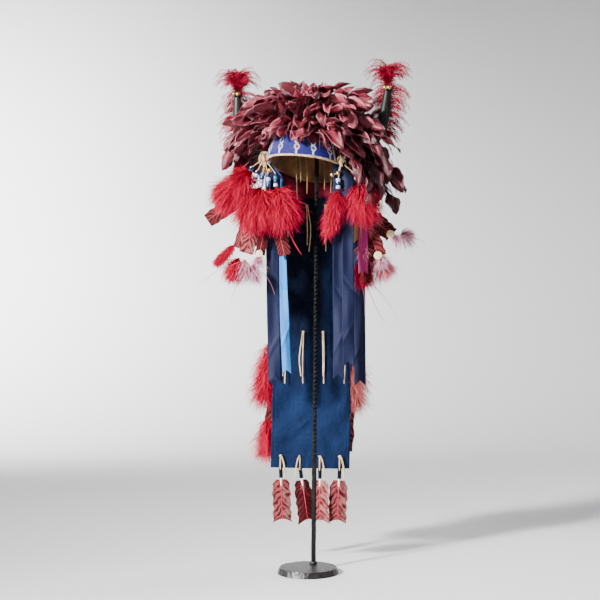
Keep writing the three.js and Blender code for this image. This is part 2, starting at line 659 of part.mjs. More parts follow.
// Rows of long feathers on the trailer's back, each row sewn to a tape, with down at its quills and tips
const TRAILER_ROWS = [
  // height of the tape above the hem
  { name: "trailer_feathers_upper", rise: (RIM_HEIGHT - TRAILER_HEM) * 0.837 },
  { name: "trailer_feathers_lower", rise: (RIM_HEIGHT - TRAILER_HEM) * 0.44 },
];
function trailerFeathers({ rise }, grow = 0) {
  const tape = 3;
  const seat = clothBack + 2 * GAP;
  const rings = [-0.47, -0.24, 0, 0.24, 0.47].map((share) => [
    trailerPoint(share, TRAILER_HEM + rise - 5, seat - 1),
    trailerPoint(share, TRAILER_HEM + rise + 5, seat - 1),
    trailerPoint(share, TRAILER_HEM + rise + 5, seat + tape),
    trailerPoint(share, TRAILER_HEM + rise - 5, seat + tape),
  ]);
  const parts = [loft(rings)];
  for (let column = 0; column < 4; column++) {
    const lean = (column - 1.5) * 5;
    const lift = tape + 4 + 2 * (column % 2);
    const stations = [
      // place along the feather, share of its width, share of its lift off the tape
      [0, 0.2, 0],
      [0.1, 0.85, 1],
      [0.4, 1, 1],
      [0.7, 1, 1],
      [1, 0.95, 1],
    ];
    const points = stations.map(([place, , off]) =>
      tieAt(column, rise - place * LONG_FEATHER_LENGTH, seat + lerp(tape / 2, lift, off)).add(
        vec(lean * place, 0, 0),
      ),
    );
    const widths = stations.map(([, wide]) => wide * FEATHER_WIDTH);
    const across = stations.map(([place]) => clothSide(column, rise - place * LONG_FEATHER_LENGTH));
    parts.push(strip({ points, across, widths, thickness: VANE_THICKNESS + 0.6, grow }));
    for (const place of column % 3 ? [0.34] : [0.34, 0.92]) {
      const centre = tieAt(column, rise - place * LONG_FEATHER_LENGTH, seat + FLUFF_RADIUS * 0.45);
      centre.add(vec(lean * (1 + place * 2), 0, 0));
      const span = [0.34, 0, -0.34].map((share) => centre.clone().add(vec(0, 0, share * FLUFF_LENGTH)));
      const radii = [0.5, 1, 0.4].map((share) => share * FLUFF_RADIUS);
      parts.push(bar(span, radii, 4, grow, 0.4));
    }
  }
  return carve(join(parts), [trailerRoom()]);
}

// Pendants under the hem: a cut feather with its quill in a cloth wrap, and the thong it hangs on
const PENDANTS = [
  // lean in degrees and turn of the vane about its quill
  { lean: 2, turn: 4 },
  { lean: 8, turn: 28 },
  { lean: 1, turn: -24 },
  { lean: -3, turn: 6 },
];
const WRAP_RADIUS = 4.2;
const WRAP_LENGTH = 20;
const QUILL_DROP = 10; // top of the wrap below the hem's own height of the holes
function pendantTop(column) {
  return tieAt(column, 6, clothBack + GAP + WRAP_RADIUS + 1);
}
function pendantFeather(column) {
  const { lean, turn } = PENDANTS[column];
  const top = pendantTop(column);
  const down = vec(Math.sin(rad(lean)), 0, -Math.cos(rad(lean)));
  const place = (distance) => top.clone().addScaledVector(down, distance);
  const wrap = bar([place(0), place(WRAP_LENGTH)], [WRAP_RADIUS, WRAP_RADIUS], 6);
  const quillEnd = WRAP_LENGTH + QUILL_DROP;
  const quill = bar([place(WRAP_LENGTH - 2), place(quillEnd + 8)], [2.6, 2], 4);
  const stations = [0, 0.12, 0.6, 1];
  const points = stations.map((share) => place(WRAP_LENGTH + 4 + share * FEATHER_LENGTH));
  const widths = [0.3, 0.86, 1, 0.96].map((share) => share * PENDANT_WIDTH);
  const across = hemSide.clone().applyAxisAngle(UP, rad(turn));
  const vane = strip({ points, across, widths, thickness: VANE_THICKNESS });
  const side = across.clone().normalize();
  const foot = points.at(-1);
  const bite = [
    foot.clone().add(vec(0, 0, PENDANT_WIDTH * 0.16)),
    foot.clone().add(vec(0, 0, -4)).addScaledVector(side, PENDANT_WIDTH * 0.55),
    foot.clone().add(vec(0, 0, -4)).addScaledVector(side, -PENDANT_WIDTH * 0.55),
  ];
  const face = side.clone().cross(UP).setLength(6);
  const wedge = loft([1, -1].map((s) => bite.map((p) => p.clone().addScaledVector(face, s))));
  return carve(join([wrap, quill, vane]), [wedge]);
}
function pendantThong(column, grow = 0) {
  const top = pendantTop(column);
  const front = clothFront - THONG_RADIUS - GAP;
  const points = [
    tieAt(column, TIE_RISE, clothBack + 5),
    tieAt(column, TIE_RISE, clothFront - 1),
    tieAt(column, TIE_RISE - 5, front - 1.5),
    tieAt(column, 4, front - 0.5),
    tieAt(column, -5, front + 0.5),
    top.clone().add(vec(0, 0, -WRAP_LENGTH * 0.55)),
  ];
  return bar(points, points.map(() => THONG_RADIUS), 4, grow);
}

// A hide tie that hangs inside the cap from its crown, to hold the headdress on
const CAP_TIE_X = -34;
function capTie() {
  const x = CAP_PLACE.x + CAP_TIE_X;
  const y = CAP_PLACE.y + CAP_HALF_DEPTH * 0.3;
  const points = [crownZ, RIM_HEIGHT + 40, RIM_HEIGHT, RIM_HEIGHT - 70].map((z, i) => vec(x + 2 * i, y, z));
  return strip({ points, across: vec(1, 0, 0), widths: [5, 5, 5, 4], thickness: 1.6, kind: "strip" }).intersect(
    capDome(-CAP_WALL - GAP, 160),
  );
}

// Crown: trimmed feathers in rows, fused to a backing on the dome
const LEAF_ROWS = [
  // count round the arc from first to last degree; level on the dome; length share; slopes at root and tip
  { count: 5, first: 0, last: 360, level: 0.985, long: 0.85, slopes: [62, -22] },
  { count: 8, first: 16, last: 376, level: 0.86, long: 1.06, slopes: [68, -30] },
  { count: 9, first: 0, last: 360, level: 0.7, long: 1.14, slopes: [50, -54] },
  { count: 7, first: -56, last: 56, level: 0.6, long: 0.8, slopes: [6, -80] },
  { count: 9, first: 68, last: 292, level: 0.58, long: 1.4, slopes: [38, -60] },
  { count: 8, first: 80, last: 280, level: 0.4, long: 1.66, slopes: [8, -76] },
];
function crownFeathers() {
  const backing = capDome(GAP + 1.6, 0, [0.3, 0.52, 0.68, 0.84, 0.95]).subtract(capDome(GAP, 0));
  const parts = [backing];
  LEAF_ROWS.forEach((row, r) => {
    const whole = row.last - row.first === 360;
    for (let i = 0; i < row.count; i++) {
      const share = i / (whole ? row.count : row.count - 1);
      const t = lerp(row.first, row.last, share) + 5 * wobble(i, r);
      const root = facetPoint(t, row.level, GAP + 0.8);
      const out = outward(t);
      const heading = Math.atan2(out.y, out.x) + rad(10 * wobble(i, r + 7));
      const length = LEAF_LENGTH * row.long * (1 + 0.1 * wobble(i, r + 3) + 0.12 * Math.sin(rad(t)));
      const slopes = row.slopes.map((slope) => slope + 9 * wobble(i, r + 5));
      const spine = drape(root, heading, slopes, length, 3);
      const across = vec(-Math.sin(heading), Math.cos(heading), 0);
      const widths = [0.34, 1, 0.9, 0.12].map((part) => part * LEAF_WIDTH);
      const turns = [0, 1, 1, 1].map((on) => on * 24 * wobble(i, r + 9));
      parts.push(strip({ points: spine, across, widths, thickness: LEAF_THICKNESS, kind: "ridge", turns }));
    }
  });
  return join(parts);
}

// Materials
const FINISHES = {
  black_iron: [0x1d1c1d, 0.45, 0.7],
  hide: [0xb98a5a, 0.85, 0],
  pale_hide: [0xe9d8bc, 0.8, 0],
  blue_beads: [0x2c3c9a, 0.35, 0],
  leaf_red: [0x8a3a3e, 0.5, 0],
  horn_black: [0x1b1c1b, 0.35, 0],
  plume_red: [0xc81f3f, 0.9, 0],
  brass: [0xc8a75c, 0.3, 1],
  glass_beads: [0x35608c, 0.2, 0],
  barred_red: [0x9b3b3a, 0.7, 0],
  navy_ribbon: [0x2b2f4d, 0.7, 0],
  sky_ribbon: [0x6fb1dc, 0.5, 0],
  rose_ribbon: [0xb8478f, 0.5, 0],
  tan_ribbon: [0xc79a62, 0.5, 0],
  blue_cotton: [0x24497a, 0.85, 0],
  red_cloth: [0x7d1630, 0.85, 0],
};
const materials = Object.fromEntries(
  Object.entries(FINISHES).map(([name, [color, roughness, metalness]]) => [
    name,
    new THREE.MeshStandardMaterial({ name, color, roughness, metalness }),
  ]),
);

// Assembly. Each piece is cut clear of those that were made before it and lie near it.
const headdress = new THREE.Group();
headdress.name = "feathered_headdress_on_stand";

function add(name, made, finish) {
  const mesh = largest(made.simplify(SIMPLIFY)).getMesh();
  const geometry = new THREE.BufferGeometry()
    .setAttribute("position", new THREE.BufferAttribute(mesh.vertProperties, mesh.numProp))
    .setIndex(new THREE.BufferAttribute(mesh.triVerts, 1));
  geometry.computeVertexNormals();
  const piece = new THREE.Mesh(geometry, materials[finish]);
  piece.name = name;
  headdress.add(piece);
}

const SIDES = [
  ["right", -1],
  ["left", 1],
];
const capRoom = capDome(GAP);
const rims = [capRoom, capDome(0, GAP).subtract(capDome(-CAP_WALL - GAP, 4)), browBand(GAP), rimBinding(GAP)];

add("stand_plate", standPlate(), "black_iron");
add("stand_rod", standRod(), "black_iron");
add("stand_head", standHead(), "black_iron");
add("cap_shell", capShell(), "hide");
add("rim_binding", rimBinding(), "pale_hide");
add("brow_band", browBand(), "blue_beads");
add("cap_tie", capTie(), "pale_hide");

const cutters = []; // solids grown by the gap, which later pieces are cut by

for (const [sideName, side] of SIDES) {
  const hornSolid = carve(horn(side), [capRoom]);
  add(`horn_${sideName}`, hornSolid, "horn_black");
  add(`horn_bells_${sideName}`, hornBells(side), "brass");
  add(`temple_knot_${sideName}`, carve(templeKnot(side), rims), "pale_hide");
  add(`temple_bells_${sideName}`, carve(templeBells(side), [...rims, templeKnot(side, GAP)]), "brass");
  cutters.push(horn(side, GAP), templeKnot(side, GAP), templeBells(side, GAP));
}

const strandCounts = { 1: 0, "-1": 0 };
STRANDS.forEach((row) => {
  const sideName = row.side === 1 ? "left" : "right";
  strandCounts[row.side] += 1;
  const near = STRANDS.filter((other) => other !== row && other.side === row.side && STRANDS.indexOf(other) < STRANDS.indexOf(row));
  const strand = carve(beadStrand(row), [...rims, ...cutters, ...near.map((other) => beadStrand(other, GAP))]);
  add(`bead_strand_${sideName}_${strandCounts[row.side]}`, strand, "glass_beads");
});
cutters.push(...STRANDS.map((row) => beadStrand(row, GAP)));

SIDE_FEATHERS.forEach((row) => {
  add(row.name, carve(sideFeather(row), [...rims, ...cutters]), "barred_red");
  cutters.push(sideFeather(row, GAP));
});

const RIBBON_FINISH = { navy: "navy_ribbon", sky: "sky_ribbon", rose: "rose_ribbon", tan: "tan_ribbon" };
RIBBONS.forEach((row) => {
  const colour = row.name.split("_")[2];
  add(row.name, carve(ribbon(row), [...rims, ...cutters]), RIBBON_FINISH[colour]);
  cutters.push(ribbon(row, GAP));
});

EAR_PLUMES.forEach((row) => {
  add(row.name, carve(earPlume(row), [...rims, ...cutters]), "plume_red");
  cutters.push(earPlume(row, GAP));
});

for (const [sideName, side] of SIDES) {
  const hornParts = [horn(side, GAP), hornBells(side, GAP)];
  add(`horn_plume_${sideName}`, carve(hornPlume(side), hornParts), "plume_red");
  hornParts.push(hornPlume(side, GAP));
  add(`horn_hackles_${sideName}`, carve(hornHackles(side), hornParts), "plume_red");
  cutters.push(...hornParts, hornHackles(side, GAP));
}

add("trailer_header", trailerHeader(), "red_cloth");
add("trailer_cloth", trailerCloth(), "blue_cotton");
TRAILER_ROWS.forEach((row) => {
  add(row.name, carve(trailerFeathers(row), [...rims, ...cutters]), "barred_red");
  cutters.push(trailerFeathers(row, GAP));
});
PENDANTS.forEach((_, column) => {
  const thong = pendantThong(column);
  add(`pendant_thong_${column + 1}`, thong, "pale_hide");
  add(`pendant_feather_${column + 1}`, carve(pendantFeather(column), [pendantThong(column, GAP)]), "barred_red");
});

add("crown_feathers", carve(crownFeathers(), [...rims.slice(1), ...cutters, trailerRoom()]), "leaf_red");

export default headdress;
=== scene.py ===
# %% [markdown]
# A feathered headdress on an iron stand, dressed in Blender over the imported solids. The solids give
# every place and size; this file gives the surfaces: trimmed and barred feathers, down, beadwork,
# ribbons, cotton cloth, hide, horn, brass and hammered iron. Metres, Z up, the wearer faces -Y.

# %% Load the frame
import json
import math

import bpy
import numpy as np
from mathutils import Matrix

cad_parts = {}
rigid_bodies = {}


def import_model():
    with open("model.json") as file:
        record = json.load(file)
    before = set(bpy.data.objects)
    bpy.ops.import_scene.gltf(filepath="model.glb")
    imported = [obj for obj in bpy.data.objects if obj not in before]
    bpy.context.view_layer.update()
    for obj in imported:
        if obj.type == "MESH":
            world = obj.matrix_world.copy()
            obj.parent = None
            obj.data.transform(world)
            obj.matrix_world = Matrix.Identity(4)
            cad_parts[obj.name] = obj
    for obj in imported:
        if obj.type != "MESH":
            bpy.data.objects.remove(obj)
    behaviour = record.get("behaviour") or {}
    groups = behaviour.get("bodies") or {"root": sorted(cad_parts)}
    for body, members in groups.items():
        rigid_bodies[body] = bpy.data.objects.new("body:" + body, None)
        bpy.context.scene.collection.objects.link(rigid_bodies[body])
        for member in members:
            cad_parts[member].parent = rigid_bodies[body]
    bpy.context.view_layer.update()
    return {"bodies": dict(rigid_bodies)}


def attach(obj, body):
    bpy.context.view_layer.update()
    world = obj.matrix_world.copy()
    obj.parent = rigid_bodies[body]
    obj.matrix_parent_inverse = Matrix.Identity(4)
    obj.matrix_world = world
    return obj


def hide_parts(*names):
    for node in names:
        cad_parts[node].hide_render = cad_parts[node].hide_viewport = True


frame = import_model()
ROOT = next(iter(frame["bodies"]))

# %% [markdown]
# The picture first: a long lens level with the middle of the stand, a little round towards the
# wearer's left. A pale floor that curves up into the backdrop gives no horizon line. One small light
# stands high at the left in front and throws the shadow back to the right. Others light the left of
# the backdrop, the floor in front and the edges from behind, and a weak fill lifts the blue cloth.

# %% Camera, floor and lights
UP = np.array([0.0, 0.0, 1.0])
VIEW_TURN = math.radians(15)
CAMERA_AWAY, CAMERA_ASIDE, CAMERA_HEIGHT = 2.794, 0.0176, 0.6
VIEW_SIDE = np.array([math.cos(VIEW_TURN), math.sin(VIEW_TURN), 0.0])
VIEW_BACK = np.array([VIEW_SIDE[1], -VIEW_SIDE[0], 0.0])  # from the object to the camera
eye = VIEW_BACK * CAMERA_AWAY - VIEW_SIDE * CAMERA_ASIDE + UP * CAMERA_HEIGHT
bpy.ops.object.camera_add(location=eye, rotation=(math.radians(90), 0, VIEW_TURN))
camera = bpy.context.object
camera.data.lens = 76.2
camera.data.sensor_width = 36
camera.data.clip_start = 0.05
bpy.context.scene.camera = camera


def edit_mode():
    bpy.ops.object.mode_set(mode="EDIT")


def object_mode():
    bpy.ops.object.mode_set(mode="OBJECT")


def deselect():
    if bpy.context.object and bpy.context.object.mode != "OBJECT":
        object_mode()
    bpy.ops.object.select_all(action="DESELECT")


def area_light(name, place, aim, size, power, colour, spread=math.pi):
    bpy.ops.object.light_add(type="AREA", location=place)
    lamp = bpy.context.object
    lamp.name = name
    lamp.data.shape = "DISK"
    lamp.data.size = size
    lamp.data.energy = power
    lamp.data.color = colour
    lamp.data.spread = spread
    way = np.array(aim) - np.array(place)
    lamp.rotation_euler = (
        math.atan2(math.hypot(way[0], way[1]), -way[2]),
        0,
        math.atan2(way[1], way[0]) - math.pi / 2,
    )
    return lamp


def seen(side, back, z):
    """A place given as the camera sees it: to the right, towards the camera, up."""
    return VIEW_SIDE * side + VIEW_BACK * back + UP * z


area_light("key", seen(-2.15, 1.85, 1.8), (0, 0, 0.4), 0.4, 64, (1.0, 0.985, 0.965), 1.2)
area_light("fill", seen(1.9, 1.9, 1.2), (0, 0, 0.6), 2.2, 1.5, (0.93, 0.95, 1.0))
area_light("rim", seen(1.3, -1.4, 1.9), (0, 0, 0.8), 0.8, 5, (1.0, 1.0, 1.0), 1.2)
area_light("backdrop_left", seen(-2.3, -1.2, 1.7), seen(-1.4, -3.0, 0.8), 1.2, 105, (0.95, 0.96, 1.0), 1.5)
area_light("floor_front", seen(-1.5, 1.0, 1.1), seen(-0.2, 0.8, 0), 0.8, 15, (0.96, 0.97, 1.0), 1.1)
world = bpy.data.worlds.new("studio")
world.use_nodes = True
world.node_tree.nodes["Background"].inputs["Color"].default_value = (0.86, 0.87, 0.93, 1)
world.node_tree.nodes["Background"].inputs["Strength"].default_value = 0.08
bpy.context.scene.world = world

deselect()
bpy.ops.mesh.primitive_plane_add(size=1)
floor = bpy.context.object
floor.name = "studio_floor"
edit_mode()
bpy.ops.mesh.select_all(action="SELECT")
bpy.ops.transform.resize(value=(9, 7, 1))
bpy.ops.transform.translate(value=(0, -1.4, 0))
object_mode()
far = [v for v in floor.data.vertices if v.co.y > 0]
for v in floor.data.vertices:
    v.select = v in far
for e in floor.data.edges:
    e.select = all(floor.data.vertices[i] in far for i in e.vertices)
edit_mode()
BACKDROP_STEPS = 12
for step in range(BACKDROP_STEPS):
    angle = math.radians(90 * (step + 0.5) / BACKDROP_STEPS)
    bpy.ops.mesh.extrude_region_move(
        TRANSFORM_OT_translate={"value": (0, 0.13 * math.cos(angle), 0.13 * math.sin(angle))}
    )
bpy.ops.mesh.extrude_region_move(TRANSFORM_OT_translate={"value": (0, 0, 3.2)})
object_mode()
bpy.ops.object.shade_smooth()
floor.rotation_euler[2] = VIEW_TURN
print("camera at", [round(float(x), 3) for x in eye])

# %% [markdown]
# Materials come from a few helpers. A material is one Principled shader; textures feed its colour, roughness
# and normal. Feathers carry a map of their own: its U runs across the vane and its V along the shaft, so that
# barbs and bars follow each feather. One value per point, tone, makes every feather a little different though
# they share one material; on the crown's leaves it also carries painted shade.


# %% Material helpers
def material(name, colour, roughness, metallic=0.0, **sockets):
    made = bpy.data.materials.new(name)
    made.use_nodes = True
    shader = made.node_tree.nodes["Principled BSDF"]
    shader.inputs["Base Color"].default_value = (*colour, 1)
    shader.inputs["Roughness"].default_value = roughness
    shader.inputs["Metallic"].default_value = metallic
    for socket, value in sockets.items():
        shader.inputs[socket.replace("_", " ")].default_value = value
    made.diffuse_color = (*colour, 1)
    return made


def node(mat, kind, **inputs):
    made = mat.node_tree.nodes.new("ShaderNode" + kind)
    for name, value in inputs.items():
        if hasattr(made, name):
            setattr(made, name, value)
        else:
            made.inputs[name.replace("_", " ")].default_value = value
    return made


def link(mat, source, target):
    mat.node_tree.links.new(source, target)


def shader_of(mat):
    return mat.node_tree.nodes["Principled BSDF"]


def ramp(mat, source, stops):
    made = mat.node_tree.nodes.new("ShaderNodeValToRGB")
    bar = made.color_ramp
    while len(bar.elements) < len(stops):
        bar.elements.new(0.5)
    for element, (place, colour) in zip(bar.elements, stops):
        element.position = place
        element.color = (*colour, 1) if hasattr(colour, "__len__") else (colour, colour, colour, 1)
    link(mat, source, made.inputs["Fac"])
    return made.outputs["Color"]


def mix(mat, share, low, high):
    made = mat.node_tree.nodes.new("ShaderNodeMix")
    made.data_type = "RGBA"
    for socket, value in (("Factor", share), ("A", low), ("B", high)):
        kind = "VALUE" if socket == "Factor" else "RGBA"
        target = next(s for s in made.inputs if s.name == socket and s.type == kind)
        if hasattr(value, "links"):
            link(mat, value, target)
        elif hasattr(value, "__len__"):
            target.default_value = (*value, 1)
        else:
            target.default_value = value
    return next(s for s in made.outputs if s.type == "RGBA")


def maths(mat, kind, *values):
    made = mat.node_tree.nodes.new("ShaderNodeMath")
    made.operation = kind
    for socket, value in zip(made.inputs, values):
        if hasattr(value, "links"):
            link(mat, value, socket)
        else:
            socket.default_value = value
    return made.outputs[0]


def times(mat, a, b):
    return maths(mat, "MULTIPLY", a, b)


def plus(mat, a, b):
    return maths(mat, "ADD", a, b)


def minus(mat, a, b):
    return maths(mat, "SUBTRACT", a, b)


def from_middle(mat, u):
    """How far a map value lies from the middle of the map."""
    return maths(mat, "ABSOLUTE", minus(mat, u, 0.5))


def bump(mat, height, strength, distance):
    made = node(mat, "Bump", Strength=strength, Distance=distance)
    link(mat, height, made.inputs["Height"])
    link(mat, made.outputs["Normal"], shader_of(mat).inputs["Normal"])


def noise(mat, scale, detail=3, rough=0.5):
    made = node(mat, "TexNoise", Scale=scale, Detail=detail, Roughness=rough)
    link(mat, node(mat, "TexCoord").outputs["Object"], made.inputs["Vector"])
    return made.outputs["Fac"]


def map_axes(mat):
    """The U and V of the piece's own map, as two values."""
    coordinates = node(mat, "TexCoord")
    parts = node(mat, "SeparateXYZ")
    link(mat, coordinates.outputs["UV"], parts.inputs[0])
    return parts.outputs[0], parts.outputs[1]


def value_of(mat, name):
    return node(mat, "Attribute", attribute_name=name).outputs["Fac"]


def colour_into(mat, colour):
    link(mat, colour, shader_of(mat).inputs["Base Color"])


def roughness_into(mat, value):
    link(mat, value, shader_of(mat).inputs["Roughness"])


# %% [markdown]
# The dyed feathers. A leaf feather of the crown is a trimmed, stiff vane: wine red, darker towards its root,
# with a pale worn edge and fine barbs that run out from the shaft at a slant. The barred feathers are turkey
# wing feathers dyed red, so their dark bars still show. Down is painted dark at the root of each barb and
# pale at its tip: painted shade in the dense middle of a plume and painted light where light shines through
# the thin tips.


# %% Feather materials
def barb_lines(mat, per_length, slant, u, v):
    """Fine lines that leave the shaft at a slant, from 0 to 1, and the way out from the shaft."""
    out = from_middle(mat, u)
    run = minus(mat, times(mat, v, per_length), times(mat, out, slant))
    return plus(mat, times(mat, maths(mat, "SINE", run), 0.5), 0.5), out


def leaf_material(name, dark, middle, pale):
    mat = material(name, middle, 0.38, Specular_IOR_Level=0.4)
    u, v = map_axes(mat)
    lines, out = barb_lines(mat, 230, 80, u, v)
    tone = value_of(mat, "tone")
    along = ramp(mat, v, [(0.0, dark), (0.3, middle), (0.85, middle), (1.0, dark)])
    worn = ramp(mat, out, [(0.0, 0.3), (0.05, 0.0), (0.38, 0.0), (0.5, 0.8)])
    body = mix(mat, worn, along, pale)
    body = mix(mat, ramp(mat, tone, [(0.72, 0.0), (1.0, 0.42)]), body, pale)
    patch = ramp(mat, noise(mat, 40, 3), [(0.38, 0.0), (0.68, 1.0)])
    body = mix(mat, times(mat, patch, 0.45), body, dark)
    body = mix(mat, times(mat, lines, 0.22), body, dark)
    # a low tone darkens the vane towards near-black; on the crown the tone also carries painted shade
    body = mix(mat, maths(mat, "POWER", tone, 1.2), mix(mat, 0.84, body, (0.009, 0.002, 0.004)), body)
    colour_into(mat, body)
    roughness_into(mat, ramp(mat, noise(mat, 60, 2), [(0.3, 0.24), (0.7, 0.5)]))
    bump(mat, lines, 0.35, 0.0006)
    return mat


def barred_material(name, dark, red, pale, bars, streaked=0.0):
    mat = material(name, red, 0.75, Specular_IOR_Level=0.12)
    u, v = map_axes(mat)
    lines, out = barb_lines(mat, 420, 130, u, v)
    tone = value_of(mat, "tone")
    wave = times(mat, noise(mat, 55, 3), 1.9 / bars)
    run = plus(mat, minus(mat, v, times(mat, out, 3.2 / bars)), wave)
    stripe = maths(mat, "FRACT", times(mat, run, bars))
    bar = ramp(mat, stripe, [(0.0, 0.0), (0.12, 1.0), (0.42, 1.0), (0.6, 0.0)])
    streak = ramp(mat, noise(mat, 45, 4), [(0.45, 0.0), (0.7, 0.55)])
    body = mix(mat, streak, mix(mat, tone, red, pale), pale)
    bar = times(mat, bar, ramp(mat, noise(mat, 90, 4), [(0.3, 0.45), (0.52, 1.0)]))
    split = ramp(mat, barb_lines(mat, 120, 40, u, v)[0], [(0.5, 0.0), (0.9, 1.0)])
    split = times(mat, split, ramp(mat, noise(mat, 60, 4), [(0.42, 0.0), (0.58, 1.0)]))
    half = times(mat, ramp(mat, u, [(0.5, 0.0), (0.58, streaked)]), split)
    body = mix(mat, half, body, (0.5, 0.26, 0.25))
    bar = times(mat, bar, minus(mat, 1.0, half))
    body = mix(mat, bar, body, dark)
    body = mix(mat, times(mat, lines, 0.25), body, dark)
    rib = ramp(mat, out, [(0.0, 1.0), (0.035, 0.0)])
    body = mix(mat, rib, body, (0.3, 0.008, 0.03))
    colour_into(mat, body)
    bump(mat, lines, 0.3, 0.0006)
    return mat


def down_material(name, deep, bright, tip):
    mat = material(name, bright, 0.8, Specular_IOR_Level=0.1, Subsurface_Weight=0.1, Subsurface_Scale=0.004)
    v = map_axes(mat)[1]
    tone = value_of(mat, "tone")
    # painted shade and painted light: darker at the root of each barb, in the dense middle of a plume, and
    # paler at its tip, where light shines through
    along = ramp(mat, v, [(0.0, deep), (0.45, bright), (1.0, tip)])
    colour_into(mat, mix(mat, times(mat, tone, 0.62), along, deep))
    return mat


LEAF_RED = leaf_material("leaf_red", (0.05, 0.003, 0.009), (0.31, 0.026, 0.05), (0.62, 0.17, 0.22))
BARRED_RED = barred_material(
    "barred_red", (0.006, 0.0006, 0.0012), (0.075, 0.003, 0.006), (0.17, 0.02, 0.022), 8
)
BARRED_PINK = barred_material(
    "barred_pink", (0.022, 0.0015, 0.0025), (0.12, 0.007, 0.01), (0.27, 0.055, 0.055), 6.5, 0.9
)
BARRED_LONG = barred_material(
    "barred_long", (0.008, 0.0008, 0.0015), (0.1, 0.006, 0.009), (0.2, 0.035, 0.035), 17
)
# the first and last colours of each down are painted shade at the roots and painted light at the tips
DOWN_RED = down_material("down_red", (0.17, 0.0, 0.008), (0.48, 0.0, 0.022), (0.7, 0.01, 0.07))
DOWN_SALMON = down_material("down_salmon", (0.16, 0.012, 0.016), (0.36, 0.045, 0.045), (0.55, 0.17, 0.16))
DOWN_PINK = down_material("down_pink", (0.45, 0.04, 0.06), (0.78, 0.1, 0.16), (0.85, 0.42, 0.46))
DOWN_PALE = down_material("down_pale", (0.4, 0.08, 0.13), (0.6, 0.26, 0.36), (0.66, 0.46, 0.56))
HACKLE_RED = down_material("hackle_red", (0.12, 0.0, 0.008), (0.38, 0.001, 0.026), (0.5, 0.02, 0.06))
HAIR_PINK = material("hair_pink", (0.32, 0.12, 0.19), 0.5)
QUILL_RED = material("quill_red", (0.4, 0.008, 0.03), 0.45)
QUILL_WHITE = material("quill_white", (0.82, 0.78, 0.68), 0.3)

# %% [markdown]
# Many small things are joined meshes from arrays: a barb of down is a flat strip of a few faces, and
# a plume has some thousands of them. One class turns arrays of spines into such a mesh, with the
# map and the tone that the materials read.


# %% Meshes from arrays
CHANCE = np.random.default_rng(7)
GOLDEN_TURN = 2.399


def unit(v):
    return v / np.maximum(np.linalg.norm(v, axis=-1, keepdims=True), 1e-9)


def put_mesh(name, verts, faces, mats, uvs=None, tone=None, slots=None):
    mesh = bpy.data.meshes.new(name)
    mesh.from_pydata(np.asarray(verts).tolist(), [], np.asarray(faces).tolist())
    piece = bpy.data.objects.new(name, mesh)
    bpy.context.collection.objects.link(piece)
    for mat in mats if isinstance(mats, (list, tuple)) else [mats]:
        mesh.materials.append(mat)
    index = np.zeros(len(mesh.loops), dtype=int)
    mesh.loops.foreach_get("vertex_index", index)
    if uvs is not None:
        layer = mesh.uv_layers.new(name="map")
        layer.data.foreach_set("uv", np.asarray(uvs, dtype=np.float32)[index].ravel())
    if tone is not None:
        values = mesh.attributes.new("tone", "FLOAT", "POINT")
        values.data.foreach_set("value", np.asarray(tone, dtype=np.float32))
    if slots is not None:
        mesh.polygons.foreach_set("material_index", np.asarray(slots, dtype=np.int32))
    mesh.polygons.foreach_set("use_smooth", np.full(len(mesh.polygons), True))
    mesh.update()
    return piece


class Bundle:
    """Collects many grids of points, each with its map and tone, and makes one mesh of them."""

    def __init__(self):
        self.verts, self.uvs, self.tone, self.faces, self.slots, self.count = [], [], [], [], [], 0

    def grids(self, points, us, vs, tone, slot=0, ring=False):
        """points is (items, rows, columns, 3); us and vs are maps of the same grid, or of one item."""
        n, rows, cols = points.shape[:3]
        self.verts.append(points.reshape(-1, 3))
        u = np.broadcast_to(us, (n, rows, cols)).reshape(-1)
        v = np.broadcast_to(vs, (n, rows, cols)).reshape(-1)
        self.uvs.append(np.stack([u, v], 1))
        self.tone.append(np.broadcast_to(np.asarray(tone).reshape(-1, 1), (n, rows * cols)).reshape(-1))
        row, col = np.meshgrid(np.arange(rows - 1), np.arange(cols if ring else cols - 1), indexing="ij")
        a = row * cols + col
        b = row * cols + (col + 1) % cols
        quad = np.stack([a, b, b + cols, a + cols], -1).reshape(1, -1, 4)
        start = self.count + np.arange(n).reshape(-1, 1, 1) * rows * cols
        faces = (quad + start).reshape(-1, 4)
        self.faces.append(faces)
        self.slots.append(np.full(len(faces), slot))
        self.count += n * rows * cols

    def strips(self, spines, sides, widths, tone, slot=0):
        """Flat strips: spines (items, rows, 3), sides the same, widths (items, rows) or (rows,)."""
        w = np.broadcast_to(widths, spines.shape[:2])[..., None] / 2
        points = np.stack([spines - sides * w, spines + sides * w], 2)
        rows = spines.shape[1]
        us = np.array([0.0, 1.0])[None, None, :]
        vs = np.linspace(0, 1, rows)[None, :, None]
        self.grids(points, us, vs, tone, slot)

    def tubes(self, spines, radii, tone, sides=6, slot=0):
        """Round bars along spines (items, rows, 3) with radii (items, rows) or (rows,)."""
        along = unit(np.gradient(spines, axis=1))
        first = unit(np.cross(along, np.array([0.13, 1.0, 0.07])))
        second = np.cross(along, first)
        turn = np.linspace(0, 2 * math.pi, sides, endpoint=False)
        r = np.broadcast_to(radii, spines.shape[:2])[..., None, None]
        ring = first[:, :, None] * np.cos(turn)[:, None] + second[:, :, None] * np.sin(turn)[:, None]
        us = (np.arange(sides) / sides)[None, None, :]
        vs = np.linspace(0, 1, spines.shape[1])[None, :, None]
        self.grids(spines[:, :, None] + ring * r, us, vs, tone, slot, ring=True)

    def piece(self, name, mats):
        return put_mesh(
            name,
            np.concatenate(self.verts),
            np.concatenate(self.faces),
            mats,
            np.concatenate(self.uvs),
            np.concatenate(self.tone),
            np.concatenate(self.slots),
        )


def finish_piece(piece, slot, *nodes):
    """Hides the solids the piece stands for and makes it move with the only body."""
    if nodes:
        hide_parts(*nodes)
    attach(piece, ROOT)
    return piece


